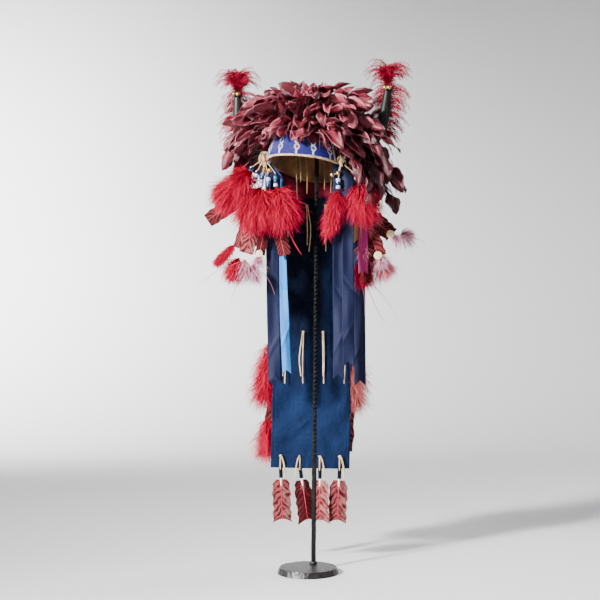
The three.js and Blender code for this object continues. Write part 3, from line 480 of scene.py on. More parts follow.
# %% [markdown]
# The cap is an oval dome. Its rim pitches down to the nape, arches at the temples and leans. The
# same function that shaped the solid gives places on it here: the angle goes from the forehead round
# by the wearer's left ear, and the level from 0 at the rim through 0.5 above the brow band to 1.

# %% Places on the cap
CAP_X, CAP_Y = -0.009, 0.018
HALF_WIDE, HALF_DEEP = 0.0835, 0.0955
RIM, PITCH, ARCH, LEAN, RISE, BAND = 0.895, 0.023, 0.004, 0.007, 0.118, 0.05
CROWN_Z = RIM + RISE


def rim_z(t):
    a = np.radians(t)
    return RIM + PITCH * np.cos(a) - ARCH * np.cos(2 * a) - LEAN * np.sin(a)


def cap_point(t, level, offset=0.0, drop=0.0):
    t, level = np.broadcast_arrays(np.asarray(t, float), np.asarray(level, float))
    full = CROWN_Z - rim_z(t)
    rise = np.where(level < 0.5, 2 * level * BAND, BAND + (2 * level - 1) * (full - BAND))
    share = np.minimum(1, rise / full)
    girth = np.sqrt(np.maximum(0, 1 - np.maximum(share, 0) ** 1.35))
    a = np.radians(t)
    return np.stack(
        [
            CAP_X + (HALF_WIDE + offset) * girth * np.sin(a),
            CAP_Y - (HALF_DEEP + offset) * girth * np.cos(a),
            rim_z(t) + rise + offset * share - drop,
        ],
        -1,
    )


def outward(t):
    a = np.radians(np.asarray(t, float))
    return unit(np.stack([np.sin(a) * HALF_DEEP, -np.cos(a) * HALF_WIDE, 0 * a], -1))


KNOT_ANGLE = 71


def knot_centre(side):
    t = side * KNOT_ANGLE
    return cap_point(t, 0, 0.0038) + outward(t) * 0.022 * 0.22


print("forehead rim", cap_point(0, 0), "knots", knot_centre(-1), knot_centre(1))

# %% [markdown]
# The stand is plain black iron: a round plate with a hammered, sloping edge and a flat glossy top,
# and a square bar that was twisted while hot over most of its length. The plate is a cylinder whose
# top is drawn in and whose edge is divided and pushed about by a noise texture. The bar is a bevelled
# cube drawn out and cut across; each cut is turned a little further, and the ends stay straight.

# %% Stand
BLACK_IRON = material("black_iron", (0.01, 0.01, 0.011), 0.36, 0.25)
grain = noise(BLACK_IRON, 150, 4)
dents = noise(BLACK_IRON, 38, 2)
bump(BLACK_IRON, plus(BLACK_IRON, times(BLACK_IRON, grain, 0.35), dents), 0.5, 0.0016)
roughness_into(BLACK_IRON, ramp(BLACK_IRON, grain, [(0.3, 0.3), (0.75, 0.56)]))
colour_into(BLACK_IRON, ramp(BLACK_IRON, grain, [(0.35, (0.006, 0.006, 0.006)), (0.7, (0.022, 0.02, 0.019))]))

DULL_IRON = material("black_iron_bar", (0.005, 0.0045, 0.004), 0.78, Specular_IOR_Level=0.1)
scale = noise(DULL_IRON, 110, 4)
colour_into(
    DULL_IRON, ramp(DULL_IRON, scale, [(0.35, (0.003, 0.0027, 0.0025)), (0.7, (0.009, 0.008, 0.007))])
)
bump(DULL_IRON, scale, 0.5, 0.0012)


def apply_modifiers(piece):
    bpy.context.view_layer.objects.active = piece
    for modifier in list(piece.modifiers):
        bpy.ops.object.modifier_apply(modifier=modifier.name)


def settle():
    """Puts the active object's place and turn into its mesh."""
    bpy.ops.object.transform_apply(location=True, rotation=True, scale=True)


def dent(piece, size, depth, group=None):
    texture = bpy.data.textures.new("dents", "CLOUDS")
    texture.noise_scale = size
    push = piece.modifiers.new("dents", "DISPLACE")
    push.texture = texture
    push.strength = depth
    push.mid_level = 0.5
    if group:
        push.vertex_group = group


PLATE_R, PLATE_THICK = 0.0675, 0.013
deselect()
bpy.ops.mesh.primitive_cylinder_add(
    vertices=96, radius=PLATE_R, depth=PLATE_THICK, location=(0, 0, PLATE_THICK / 2)
)
plate = bpy.context.object
plate.name = "plate_of_hammered_iron"
edit_mode()
bpy.ops.mesh.select_all(action="DESELECT")
object_mode()
for face in plate.data.polygons:
    face.select = face.normal.z > 0.9
edit_mode()
bpy.ops.transform.resize(value=(0.925, 0.925, 1))
bpy.ops.mesh.inset(thickness=0.0015)
for ring in range(5):
    bpy.ops.mesh.inset(thickness=0.009)
object_mode()
settle()
for edge in plate.data.edges:
    z = [plate.data.vertices[i].co.z for i in edge.vertices]
    edge.select = max(z) - min(z) > 0.01
edit_mode()
bpy.ops.mesh.select_mode(type="EDGE")
bpy.ops.mesh.subdivide(number_cuts=3)
object_mode()
rough_edge = plate.vertex_groups.new(name="edge")
for vertex in plate.data.vertices:
    reach = math.hypot(vertex.co.x, vertex.co.y)
    if reach > 0.055 and vertex.co.z > 0.001:
        rough_edge.add([vertex.index], 1.0, "REPLACE")
dent(plate, 0.006, 0.0022, "edge")
apply_modifiers(plate)
bpy.ops.object.shade_smooth_by_angle(angle=math.radians(40))
plate.data.materials.append(BLACK_IRON)
finish_piece(plate, "black_iron", "stand_plate")

ROD_FOOT, ROD_LEAN = np.array([0.003, 0.036]), np.array([0.008, 0.002])
HEAD_Z = CROWN_Z - 0.034


def rod_at(z):
    share = (z - PLATE_THICK) / (HEAD_Z - PLATE_THICK)
    xy = ROD_FOOT + ROD_LEAN * np.asarray(share, float).reshape(-1, 1)
    return np.concatenate([xy, np.asarray(z, float).reshape(-1, 1)], 1)


BAR_THICK, BAR_FOOT, BAR_CUTS = 0.0082, 0.0134, 480
deselect()
bpy.ops.mesh.primitive_cube_add(size=BAR_THICK, location=(0, 0, BAR_THICK / 2))
rod = bpy.context.object
rod.name = "rod_of_twisted_square_bar"
settle()
edit_mode()
bpy.ops.mesh.select_mode(type="EDGE")
bpy.ops.mesh.select_all(action="SELECT")
bpy.ops.mesh.bevel(offset=0.0011, segments=2, affect="EDGES")
bpy.ops.mesh.select_all(action="DESELECT")
object_mode()
for vertex in rod.data.vertices:
    lower = vertex.co.z < BAR_THICK / 2
    vertex.co.z = vertex.co.z * 0.1 if lower else (HEAD_Z - 0.0138 - BAR_THICK) + vertex.co.z
for edge in rod.data.edges:
    z = [rod.data.vertices[i].co.z for i in edge.vertices]
    edge.select = max(z) - min(z) > 0.5
edit_mode()
bpy.ops.mesh.subdivide(number_cuts=BAR_CUTS)
object_mode()
TWIST_FROM, TWIST_TO, TURN = 0.235, 0.835, 2 * math.pi / 0.0385
for vertex in rod.data.vertices:
    z = vertex.co.z
    angle = TURN * min(max(z - TWIST_FROM, 0), TWIST_TO - TWIST_FROM)
    x, y = vertex.co.x, vertex.co.y
    swell = 1.12 if z < TWIST_FROM else 1.0 - 0.06 * (z - TWIST_FROM)
    place = rod_at(z + BAR_FOOT)[0]
    hammer = 0.00035 * math.sin(z * 190) * math.sin(z * 83 + 1)
    vertex.co.x = place[0] + (x * math.cos(angle) - y * math.sin(angle)) * swell + hammer
    vertex.co.y = place[1] + (x * math.sin(angle) + y * math.cos(angle)) * swell
    vertex.co.z = z + BAR_FOOT
rod.data.materials.append(DULL_IRON)
bpy.ops.object.shade_smooth_by_angle(angle=math.radians(35))
deselect()
bpy.ops.mesh.primitive_torus_add(
    major_radius=0.0062, minor_radius=0.0026, major_segments=36, minor_segments=10, location=(
        *ROD_FOOT, 0.0158
    )
)
weld = bpy.context.object
weld.name = "weld_at_the_foot"
settle()
dent(weld, 0.004, 0.0012)
apply_modifiers(weld)
bpy.ops.object.shade_smooth()
weld.data.materials.append(BLACK_IRON)
finish_piece(weld, "black_iron")
finish_piece(rod, "black_iron", "stand_rod")

PAD_R, PAD_Z = 0.0215, 0.9785
deselect()
bpy.ops.mesh.primitive_uv_sphere_add(segments=32, ring_count=16, radius=PAD_R, location=(0.011, 0.038, PAD_Z))
pad = bpy.context.object
pad.name = "pad_on_the_rod"
edit_mode()
bpy.ops.mesh.select_all(action="SELECT")
bpy.ops.mesh.bisect(plane_co=(0, 0, PAD_Z), plane_no=(0, 0, 1), clear_inner=True, use_fill=True)
object_mode()
settle()
bpy.ops.object.shade_smooth_by_angle(angle=math.radians(50))
PAD_CLOTH = material("pad_cloth", (0.03, 0.03, 0.033), 0.9, Sheen_Weight=0.4)
bump(PAD_CLOTH, noise(PAD_CLOTH, 700, 2), 0.4, 0.0004)
pad.data.materials.append(PAD_CLOTH)
finish_piece(pad, "padded_cloth", "stand_head")
print("stand: plate", len(plate.data.polygons), "rod", len(rod.data.polygons))

# %% [markdown]
# The cap is soft tan hide, smooth outside under the feathers and suede inside, where the light from
# below catches its wrinkles. A dome laid out as a grid of places gets its thickness from Solidify. The
# rolled edge is a thin tube of pale hide that runs along the rim and wanders a little.

# %% Cap and its rolled edge
HIDE = material("tan_hide", (0.36, 0.17, 0.055), 0.85, Sheen_Weight=0.25)
patches = noise(HIDE, 22, 4)
colour_into(
    HIDE,
    ramp(HIDE, patches, [(0.3, (0.07, 0.026, 0.006)), (0.55, (0.19, 0.08, 0.02)), (0.8, (0.32, 0.16, 0.05))]),
)
bump(HIDE, plus(HIDE, noise(HIDE, 420, 3), times(HIDE, patches, 2)), 0.5, 0.001)
PALE_HIDE = material("pale_hide", (0.72, 0.58, 0.38), 0.8, Sheen_Weight=0.2)
spots = noise(PALE_HIDE, 70, 3)
colour_into(
    PALE_HIDE,
    ramp(
        PALE_HIDE, spots, [(0.3, (0.34, 0.21, 0.09)), (0.6, (0.66, 0.48, 0.26)), (0.85, (0.82, 0.68, 0.44))]
    ),
)
bump(PALE_HIDE, noise(PALE_HIDE, 600, 3), 0.4, 0.0005)


def sheet_grid(name, points, mats):
    """One grid of places as a mesh, with a map from 0 to 1 both ways."""
    rows, cols = points.shape[:2]
    bundle = Bundle()
    us = np.linspace(0, 1, cols)[None, None, :]
    vs = np.linspace(0, 1, rows)[None, :, None]
    bundle.grids(points[None], us, vs, [0.5])
    return bundle.piece(name, mats)


def thicken(piece, depth, offset=-1.0):
    wall = piece.modifiers.new("wall", "SOLIDIFY")
    wall.thickness = depth
    wall.offset = offset
    wall.use_even_offset = True
    deselect()
    piece.select_set(True)
    apply_modifiers(piece)


turn = np.linspace(0, 360, 97)
levels = np.concatenate([np.linspace(0, 0.5, 12), np.linspace(0.53, 0.999, 24)])
grid = cap_point(turn[None, :], levels[:, None])
ripple = 0.0007 * np.sin(turn * 0.31) * np.sin(turn * 0.117 + 1)
below_top = levels[:, None, None] < 0.9
grid[..., :2] += outward(turn)[None, :, :2] * (ripple - 0.0007)[None, :, None] * below_top
bundle = Bundle()
bundle.grids(grid[None, :, :-1], (np.arange(96) / 96)[None, None, :], levels[None, :, None], [0.5], ring=True)
cap = bundle.piece("cap_of_tan_hide", HIDE)
thicken(cap, 0.0022)
finish_piece(cap, "hide", "cap_shell")


def tube_piece(name, spine, radii, mat, sides):
    bundle = Bundle()
    bundle.tubes(np.asarray(spine)[None], radii, [0.5], sides)
    return bundle.piece(name, mat)


arc = np.linspace(-110, 110, 160)
edge_line = cap_point(arc, 0, 0.0011, 0.0028)
edge_line[:, 2] += 0.0003 * np.sin(arc * 0.7)
binding = tube_piece(
    "rolled_edge_of_pale_hide", edge_line, 0.0023 + 0.0002 * np.sin(arc * 1.3), PALE_HIDE, 12
)
finish_piece(binding, "pale_hide", "rim_binding")
print("cap", len(cap.data.polygons), "edge", len(binding.data.polygons))

# %% [markdown]
# The brow band is lane beadwork: columns and rows of seed beads sewn down on cloth. Each bead is a real
# barrel of a few faces, so the band glints as beads do. Its pattern is given as a chart: blue ground, a white
# line from edge to edge, and on it two stepped diamonds in white, red and green.

# %% Brow band
BEADS = material("seed_beads", (0.1, 0.1, 0.5), 0.22, Specular_IOR_Level=0.6, Coat_Weight=0.3)
COLOURS = {
    "b": (0.016, 0.014, 0.21),
    "w": (0.78, 0.78, 0.86),
    "r": (0.42, 0.01, 0.03),
    "g": (0.01, 0.09, 0.08),
}
bead_tint = node(BEADS, "Attribute", attribute_name="tint")
colour_into(BEADS, bead_tint.outputs["Color"])
LINE = ["bbbwwbbbb"]
SHAPE = [
    # rows from the lower end of the motif upwards, columns across it
    "bbbwwwbbb",
    "bbwwrwwbb",
    "bwwrrrwwb",
    "bwrrgrrwb",
    "bwwrrrwwb",
    "bbwwrwwbb",
    "bbbwwwbbb",
    "bbwwrwwbb",
    "bwwrrrwwb",
    "bwrrgrrwb",
    "bwwrrrwwb",
    "bbwwrwwbb",
    "bbbwwwbbb",
]
MOTIF = LINE * 4 + SHAPE + LINE * 7
BEAD_ROWS, HALF_ARC = 24, 64.0
BEAD_COLUMNS = 106
motif_at = [-52, -25, 3, 28, 54]


def bead_colour(t, row):
    if abs(t) > HALF_ARC - 3:
        return "w"
    for order, centre in enumerate(motif_at):
        column = round((t - centre) / (2 * HALF_ARC / BEAD_COLUMNS))
        if abs(column) <= 4:
            mark = MOTIF[row][column + 4]
            return {"r": "g", "g": "r"}.get(mark, mark) if order % 2 else mark
    return "b"


def bead_band():
    verts, faces, tint = [], [], []
    ts = np.linspace(-HALF_ARC, HALF_ARC, BEAD_COLUMNS)
    rows = (np.arange(BEAD_ROWS) + 0.5) / BEAD_ROWS * 0.5
    sides = 6
    angle = np.linspace(0, 2 * math.pi, sides, endpoint=False)
    for row, level in enumerate(rows):
        centre = cap_point(ts, level, 0.0024)
        across = unit(np.gradient(centre, axis=0))
        up = unit(cap_point(ts, level + 0.01, 0.0024) - cap_point(ts, level - 0.01, 0.0024))
        face = np.cross(across, up)
        length = np.linalg.norm(np.gradient(centre, axis=0), axis=1) * 0.47
        jitter = CHANCE.normal(0, 0.00006, (len(ts), 3))
        for k, (along, wide) in enumerate([(-1, 0.45), (-0.62, 1.0), (0.62, 1.0), (1, 0.45)]):
            ring = (
                (centre + jitter)[:, None]
                + across[:, None] * (along * length)[:, None, None]
                + up[:, None] * (np.cos(angle) * 0.00098 * wide)[None, :, None]
                + face[:, None] * (np.sin(angle) * 0.0009 * wide)[None, :, None]
            )
            verts.append(ring)
        colours = np.array([COLOURS[bead_colour(t, row)] for t in ts])
        colours *= CHANCE.uniform(0.8, 1.15, (len(ts), 1))
        tint.append(colours)
    points = np.array(verts).reshape(BEAD_ROWS, 4, BEAD_COLUMNS, sides, 3).transpose(0, 2, 1, 3, 4)
    base = np.arange(BEAD_ROWS * BEAD_COLUMNS)[:, None, None, None] * 4 * sides
    k = np.arange(3)[None, :, None, None] * sides
    s = np.arange(sides)[None, None, :, None]
    corner = np.concatenate([s, (s + 1) % sides, (s + 1) % sides + sides, s + sides], -1)
    faces = (base + k + corner).reshape(-1, 4)
    colours = np.repeat(np.array(tint).reshape(-1, 3), 4 * sides, axis=0)
    piece = put_mesh("beads_of_the_brow_band", points.reshape(-1, 3), faces, BEADS)
    layer = piece.data.color_attributes.new("tint", "FLOAT_COLOR", "POINT")
    rgba = np.concatenate([np.clip(colours, 0, 1), np.ones((len(colours), 1))], 1)
    layer.data.foreach_set("color", rgba.astype(np.float32).ravel())
    return piece


band_beads = bead_band()
BAND_CLOTH = material("band_cloth", (0.02, 0.022, 0.12), 0.8)
bump(BAND_CLOTH, noise(BAND_CLOTH, 500), 0.3, 0.0004)
ts = np.linspace(-65, 65, 80)
cloth_grid = cap_point(ts[None, :], np.linspace(0, 0.5, 8)[:, None], 0.0016)
band_cloth = sheet_grid("cloth_of_the_brow_band", cloth_grid, BAND_CLOTH)
thicken(band_cloth, 0.0009, 0)
finish_piece(band_beads, "blue_beads", "brow_band")
finish_piece(band_cloth, "blue_beads")
print("brow band beads", BEAD_ROWS * BEAD_COLUMNS, "faces", len(band_beads.data.polygons))

# %% [markdown]
# The crown is a mop of trimmed feathers, each cut to a leaf, stiff with dye and bent as it dried. One
# leaf is a small grid: its width tapers to a point, its section is a shallow trough, its spine droops
# and its edges curl. A stem carries two to four of them, turned aside by turns, and rows of stems are
# laid from the nape up, as shingles are. The front rows hang over the brow band and are short.

# %% Crown of leaf feathers
LEAF_LENGTH_ROWS = 9


def drape(root, heading, slope_from, slope_to, length, rows, twist):
    """Spines that leave their roots at one slope and bend evenly to another, angles in radians."""
    s = (np.arange(rows - 1) + 0.5) / (rows - 1)
    slope = slope_from[:, None] + (slope_to - slope_from)[:, None] * s
    turn = heading[:, None] + twist[:, None] * s**2
    step = np.stack([np.cos(turn) * np.cos(slope), np.sin(turn) * np.cos(slope), np.sin(slope)], -1)
    step = step * (length / (rows - 1))[:, None, None]
    return np.concatenate([root[:, None], root[:, None] + np.cumsum(step, 1)], 1)


def leaf_blades(bundle, spine, across, widths, tone, shape, cup, curl, roll=None):
    """Vanes: spine (n, rows, 3), across (n, 3), widths (n,), shape (rows,) the share of the width."""
    rows = spine.shape[1]
    along = unit(np.gradient(spine, axis=1))
    side = across[:, None] - along * np.sum(across[:, None] * along, -1, keepdims=True)
    side = unit(side)
    face = np.cross(side, along)
    if roll is not None:
        turn = (roll[:, None] * np.linspace(0, 1, rows)[None])[..., None]
        side, face = side * np.cos(turn) + face * np.sin(turn), face * np.cos(turn) - side * np.sin(turn)
    cols = 7
    u = np.linspace(-1, 1, cols)
    half = (widths[:, None] * shape[None] / 2)[..., None]
    edge = 1 + 0.09 * np.sin(np.arange(rows)[None, :, None] * 2.3 + tone[:, None, None] * 40)
    out = u[None, None, :] * half * edge
    phase = np.linspace(0, 7, rows)[None, :, None] + tone[:, None, None] * 31 + 2.4 * u
    ripple = curl[:, None, None] * np.sin(phase)
    lift = (np.abs(u) ** 1.5)[None, None] * half * (cup[:, None, None] + ripple)
    points = spine[:, :, None] + side[:, :, None] * out[..., None] + face[:, :, None] * lift[..., None]
    us = ((u + 1) / 2)[None, None, :]
    vs = np.linspace(0, 1, rows)[None, :, None]
    bundle.grids(points, us, vs, tone)


LEAF_SHAPE = np.array([0.1, 0.44, 0.78, 0.97, 1.0, 0.95, 0.8, 0.5, 0.04])
LEAF_ROWS = [
    # count, first and last angle, level, offset, length, slope at the root and at the tip
    (15, 84, 276, 0.40, 0.002, 0.150, 6, -80),
    (15, 80, 280, 0.46, 0.003, 0.150, 16, -72),
    (17, 70, 290, 0.54, 0.003, 0.140, 26, -66),
    (15, 66, 294, 0.60, 0.004, 0.128, 40, -58),
    (13, -60, 60, 0.56, 0.003, 0.060, -8, -84),
    (12, -58, 58, 0.62, 0.004, 0.078, 6, -80),
    (22, 0, 360, 0.68, 0.004, 0.112, 46, -60),
    (20, 0, 360, 0.76, 0.005, 0.108, 56, -54),
    (17, 0, 360, 0.84, 0.005, 0.104, 66, -40),
    (12, 0, 360, 0.92, 0.006, 0.094, 68, -34),
    (8, 0, 360, 0.975, 0.006, 0.084, 66, -26),
    (5, 0, 360, 0.992, 0.006, 0.074, 74, -14),
    (8, -112, -52, 0.80, 0.005, 0.138, 36, -40),
    (9, -122, -64, 0.62, 0.004, 0.150, 12, -74),
    (9, 62, 122, 0.46, 0.003, 0.154, -8, -86),
    (7, 70, 112, 0.44, 0.003, 0.120, -20, -86),
    (3, 62, 84, 0.66, 0.005, 0.120, 10, -50),
    (6, 12, 62, 0.62, 0.005, 0.096, 4, -84),
]
crown = Bundle()
backing = cap_point(np.arange(0, 360, 6)[None], np.linspace(0.5, 0.998, 12)[:, None], 0.0012)
crown.grids(backing[None], 0.5, 0.6, [0.22], ring=True)
leaf_total = 0
for order, (count, first, last, level, offset, length, root_slope, tip_slope) in enumerate(LEAF_ROWS):
    whole = last - first == 360
    share = np.arange(count) / (count if whole else count - 1)
    t = first + (last - first) * share + CHANCE.uniform(-6, 6, count) + order * 9 * whole
    out = outward(t)
    heading = np.arctan2(out[:, 1], out[:, 0]) + np.radians(CHANCE.uniform(-22, 22, count))
    reach = length * CHANCE.uniform(0.84, 1.12, count) * (1 + 0.12 * np.sin(np.radians(t)))
    reach = reach * (1 - 0.3 * np.exp(-(((t + 12) / 22) ** 2)))
    slope = np.radians(root_slope + CHANCE.uniform(-13, 13, count))
    slope_end = np.radians(tip_slope + CHANCE.uniform(-16, 10, count))
    twist = np.radians(CHANCE.uniform(-30, 30, count))
    stem = drape(cap_point(t, level, offset), heading, slope, slope_end, reach, 13, twist)
    crown.tubes(stem[:, ::2], np.linspace(0.0011, 0.0004, 7), np.full(count, 0.3), 4)
    # leaves sit all along the stem, the last one at its end
    per_stem = max(1, round((length - 0.045) / 0.033)) + 1
    for place in range(per_stem):
        leaf = CHANCE.uniform(0.048, 0.086, count) * min(1, 0.45 + length * 6)
        at = np.clip((reach - leaf * 0.9) / reach, 0.02, 1) * (place + 0.15) / (per_stem - 0.85)
        row = np.minimum((at * 12).astype(int), 11)
        items = np.arange(count)
        root = stem[items, row] + (stem[items, row + 1] - stem[items, row]) * (at * 12 - row)[:, None]
        side = (-1) ** (place + items) * (place < per_stem - 1)
        aside = heading + np.radians(side * CHANCE.uniform(15, 62, count) + CHANCE.uniform(-16, 16, count))
        local = slope + (slope_end - slope) * at
        rise = local + np.radians(CHANCE.uniform(-8, 34, count) * (0.4 + 0.6 * np.abs(side)))
        fall = local - np.radians(CHANCE.uniform(8, 62, count))
        twist = np.radians(CHANCE.uniform(-44, 44, count))
        spine = drape(root, aside, rise, fall, leaf, LEAF_LENGTH_ROWS, twist)
        across = np.stack([-np.sin(aside), np.cos(aside), CHANCE.uniform(-0.7, 0.7, count)], -1)
        width = CHANCE.uniform(0.017, 0.033, count) * min(1, 0.6 + length * 4)
        # painted shade: leaves on the wearer's left, away from the key light, and those low down get a darker
        # tone
        dark = 0.86 - 0.62 * (np.sin(np.radians(t)) > 0.3) * (level < 0.6) - 0.1 * (level < 0.6)
        tone = np.clip(dark + CHANCE.uniform(-0.55, 0.18, count), 0.05, 1)
        cup, curl = CHANCE.uniform(-0.9, 0.5, count), CHANCE.uniform(0.15, 0.75, count)
        roll = CHANCE.uniform(-1.9, 1.9, count)
        leaf_blades(crown, spine, across, width, tone, LEAF_SHAPE, cup, curl, roll)
        leaf_total += count
crown_piece = crown.piece("crown_of_leaf_feathers", LEAF_RED)
thicken(crown_piece, 0.0006, 0)
finish_piece(crown_piece, "leaf_red", "crown_feathers")
print("crown leaves", leaf_total, "faces", len(crown_piece.data.polygons))

# %% [markdown]
# Down. A marabou feather is a thin shaft with soft barbs that wander, and a plume is one to three
# dozen of those tied at the quill. Barbs are strips under a millimetre wide: many of them overlap to
# a solid red in the middle, and single ones show as wisps along the outline.


# %% Down and plumes
def wander(spines, amount):
    """Adds a smooth random bend that grows along each spine."""
    n, rows = spines.shape[:2]
    s = np.linspace(0, 1, rows)[None, :, None]
    a, b = (CHANCE.normal(0, 1, (n, 1, 3)) for _ in range(2))
    return spines + amount * (a * s**1.6 + 0.5 * b * np.sin(s * math.pi) * s)


def between_rows(rows, place):
    """The rows just below shares of a shaft, and how far each share is from there to the next."""
    exact = place * (rows - 1)
    low = np.minimum(exact.astype(int), rows - 2)
    return low, (exact - low)[None, :, None]


BARB_ROWS = 4


def barbs_on(
    bundle, shafts, per_shaft, length, width, tone, spread=0.9, droop=0.25, curl=0.2, slot=0, keep=None
):
    """Soft barbs along both sides of shafts (n, rows, 3)."""
    n, rows = len(shafts), BARB_ROWS
    along = unit(np.gradient(shafts, axis=1))
    place = np.linspace(0.08, 1.0, per_shaft)
    low, share = between_rows(shafts.shape[1], place)
    root = shafts[:, low] * (1 - share) + shafts[:, low + 1] * share
    way = along[:, low] * (1 - share) + along[:, low + 1] * share
    loose = unit(CHANCE.normal(0, 1, root.shape))
    side = unit(np.cross(way, loose))
    tilt = (spread * (1 - 0.55 * place))[None, :, None]
    aim = unit(way * 0.55 + side * tilt)
    reach = length * (0.55 + 0.45 * np.sin(np.clip(place, 0, 1) * math.pi) ** 0.5)[None]
    reach = reach * CHANCE.uniform(0.6, 1.25, (n, per_shaft))
    s = np.linspace(0, 1, rows)
    spines = root[:, :, None] + aim[:, :, None] * (reach[..., None] * s)[..., None]
    spines[..., 2] -= droop * reach[..., None] * s**2
    spines = spines.reshape(-1, rows, 3)
    spines = wander(spines, length * curl)
    if keep is not None:
        spines = keep(spines)
    flat = unit(np.cross(np.gradient(spines, axis=1), CHANCE.normal(0, 1, (len(spines), 1, 3))))
    shape = width * np.interp(np.linspace(0, 1, rows), [0, 0.3, 0.7, 1], [0.75, 1.0, 0.8, 0.14])
    tones = np.clip(np.repeat(tone, per_shaft) + CHANCE.uniform(-0.25, 0.25, len(spines)), 0, 1)
    bundle.strips(spines, flat, shape, tones, slot)


def plume(name, start, aim, length, girth, depth, node_name, feathers, barbs, mat, barb):
    """A plume from start along aim: sub-feathers fan out in an egg shape of the given girth."""
    aim = unit(np.asarray(aim, float))
    side = unit(np.cross(aim, [0, 1, 0]))
    front = np.cross(side, aim)
    bundle = Bundle()
    turn = np.arange(feathers) * GOLDEN_TURN
    ring = np.sqrt((np.arange(feathers) + 0.5) / feathers)
    out = side * (np.cos(turn) * ring * girth)[:, None]
    out = out + front * (np.sin(turn) * ring * girth * depth)[:, None]
    rows = 9
    s = np.linspace(0, 1, rows)[None, :, None]
    reach = length * (0.97 - 0.25 * ring[:, None, None]) * CHANCE.uniform(0.86, 1.04, (feathers, 1, 1))
    shafts = np.asarray(start)[None, None] + aim * reach * s + out[:, None] * (1 - (1 - s) ** 2.4)
    shafts = wander(shafts, length * 0.03)
    bundle.tubes(shafts, np.linspace(0.0005, 0.00015, rows), CHANCE.uniform(0.4, 0.8, feathers), 4, 0)
    tone = CHANCE.uniform(0.05, 0.75, feathers)
    barbs_on(bundle, shafts, barbs, barb, 0.0008, tone, spread=0.72, droop=0.34, curl=0.15)
    piece = bundle.piece(name, mat)
    return finish_piece(piece, "plume_red", *([node_name] if node_name else []))


STRANDS = [
    # side, beads, out, forward, down, lean, colours from the top
    (-1, 4, -31, 14, 34, 0, "ntnw"),
    (-1, 4, -15, 17, 36, 0, "nwtn"),
    (-1, 4, -2, 15, 33, 9, "tnlw"),
    (-1, 4, 11, 13, 27, 16, "nwtn"),
    (-1, 4, 24, 11, 18, 26, "ntnw"),
    (1, 3, -3, 13, 36, 0, "wnw"),
    (1, 2, 30, -10, 24, 14, "nw"),
]
BEAD_LONG, BEAD_WIDE = 0.0076, 0.005


def strand_start(row):
    side = row[0]
    out, forward, down = row[2:5]
    return knot_centre(side) + np.array([side * out, -forward, -down]) / 1000


def strand_aim(row):
    lean = math.radians(row[5])
    return np.array([row[0] * math.sin(lean), 0, -math.cos(lean)])


EAR_PLUMES = [
    # node, strand, aim in degrees outwards from straight down, length, girth, depth share, barb
    ("ear_plume_left_1", 6, 14, 84, 26, 0.6, 36),
    ("ear_plume_left_2", 5, -11, 112, 11, 0.7, 23),
    ("ear_plume_right_1", 0, -18, 84, 26, 0.62, 38),
    ("ear_plume_right_2", 2, 14, 88, 34, 0.55, 40),
    ("ear_plume_right_3", 4, 58, 84, 22, 0.62, 38),
]
for node_name, strand, aim, length, girth, depth, barb in EAR_PLUMES:
    row = STRANDS[strand]
    start = strand_start(row) + strand_aim(row) * row[1] * BEAD_LONG
    way = (row[0] * math.sin(math.radians(aim)), -0.06, -math.cos(math.radians(aim)))
    made = plume(
        "down_" + node_name, start, way, length / 1000 * 0.98, girth / 1000 * 0.92, depth, node_name,
        int(12 + girth * 0.6), 190, DOWN_RED, barb / 1000,
    )
    print(node_name, len(made.data.polygons))

LOOSE_TUFTS = [
    # place as the camera sees it (side, towards it, height), aim, length, girth, barb, barbs, material
    ((-124, 4, 884), (-0.75, -0.62), 50, 20, 34, 120, DOWN_RED),
    ((-152, -8, 694), (-0.4, -0.92), 46, 11, 28, 110, DOWN_RED),
    ((-161, -8, 724), (-0.68, -0.73), 76, 5, 13, 150, DOWN_RED),
    ((-119, -8, 680), (-0.05, -1.0), 30, 9, 26, 40, DOWN_PALE),
    ((-138, -2, 690), (-0.2, -1.0), 40, 12, 24, 34, DOWN_PALE),
    ((116, -20, 690), (0.2, -1.0), 52, 14, 29, 120, DOWN_RED),
    ((204, -20, 744), (1.0, -0.1), 22, 7, 26, 40, DOWN_PALE),
    ((156, -24, 690), (0.55, -0.75), 36, 13, 30, 60, DOWN_PINK),
    ((140, -30, 716), (0.3, -1.0), 46, 16, 28, 90, DOWN_PINK),
]
for order, (place, aim, length, girth, barb, barbs, mat) in enumerate(LOOSE_TUFTS):
    start = seen(*(np.array(place) / 1000))
    way = VIEW_SIDE * aim[0] + UP * aim[1]
    plume(
        f"loose_tuft_{order + 1}", start, way, length / 1000, girth / 1000, 0.6, None,
        14, barbs, mat, barb / 1000,
    )

# long single hairs that stray from the tufts: places as the camera sees them
HAIRS = [
    [(-150, 690), (-205, 668), (-232, 640)],
    [(-120, 672), (-158, 642), (-170, 600)],
    [(-100, 662), (-80, 640), (-74, 612)],
    [(118, 655), (168, 618), (196, 560)],
    [(130, 640), (142, 590), (172, 548)],
    [(214, 742), (246, 738), (262, 722)],
    [(120, 628), (128, 600), (124, 566)],
]


def bent_line(line, back):
    """A curve through the air, bent towards the middle of its three places."""
    points = np.array([seen(x / 1000, back, z / 1000) for x, z in line])
    t = np.linspace(0, 1, 24)[:, None]
    return (1 - t) ** 2 * points[0] + 2 * t * (1 - t) * points[1] + t**2 * points[2]


for order, line in enumerate(HAIRS):
    radii = np.linspace(0.0009, 0.0003, 24)
    hair = tube_piece(f"stray_hair_{order + 1}", bent_line(line, -0.012), radii, HAIR_PINK, 5)
    finish_piece(hair, "plume_red")
# a stripped quill hangs out of the largest plume
quill_line = bent_line([(-47, 764), (-34, 728), (-14, 700)], -0.008)
quill = tube_piece("stripped_quill", quill_line, np.linspace(0.0026, 0.0007, 24), QUILL_RED, 8)
finish_piece(quill, "plume_red")
print("loose tufts", len(LOOSE_TUFTS), "hairs", len(HAIRS))

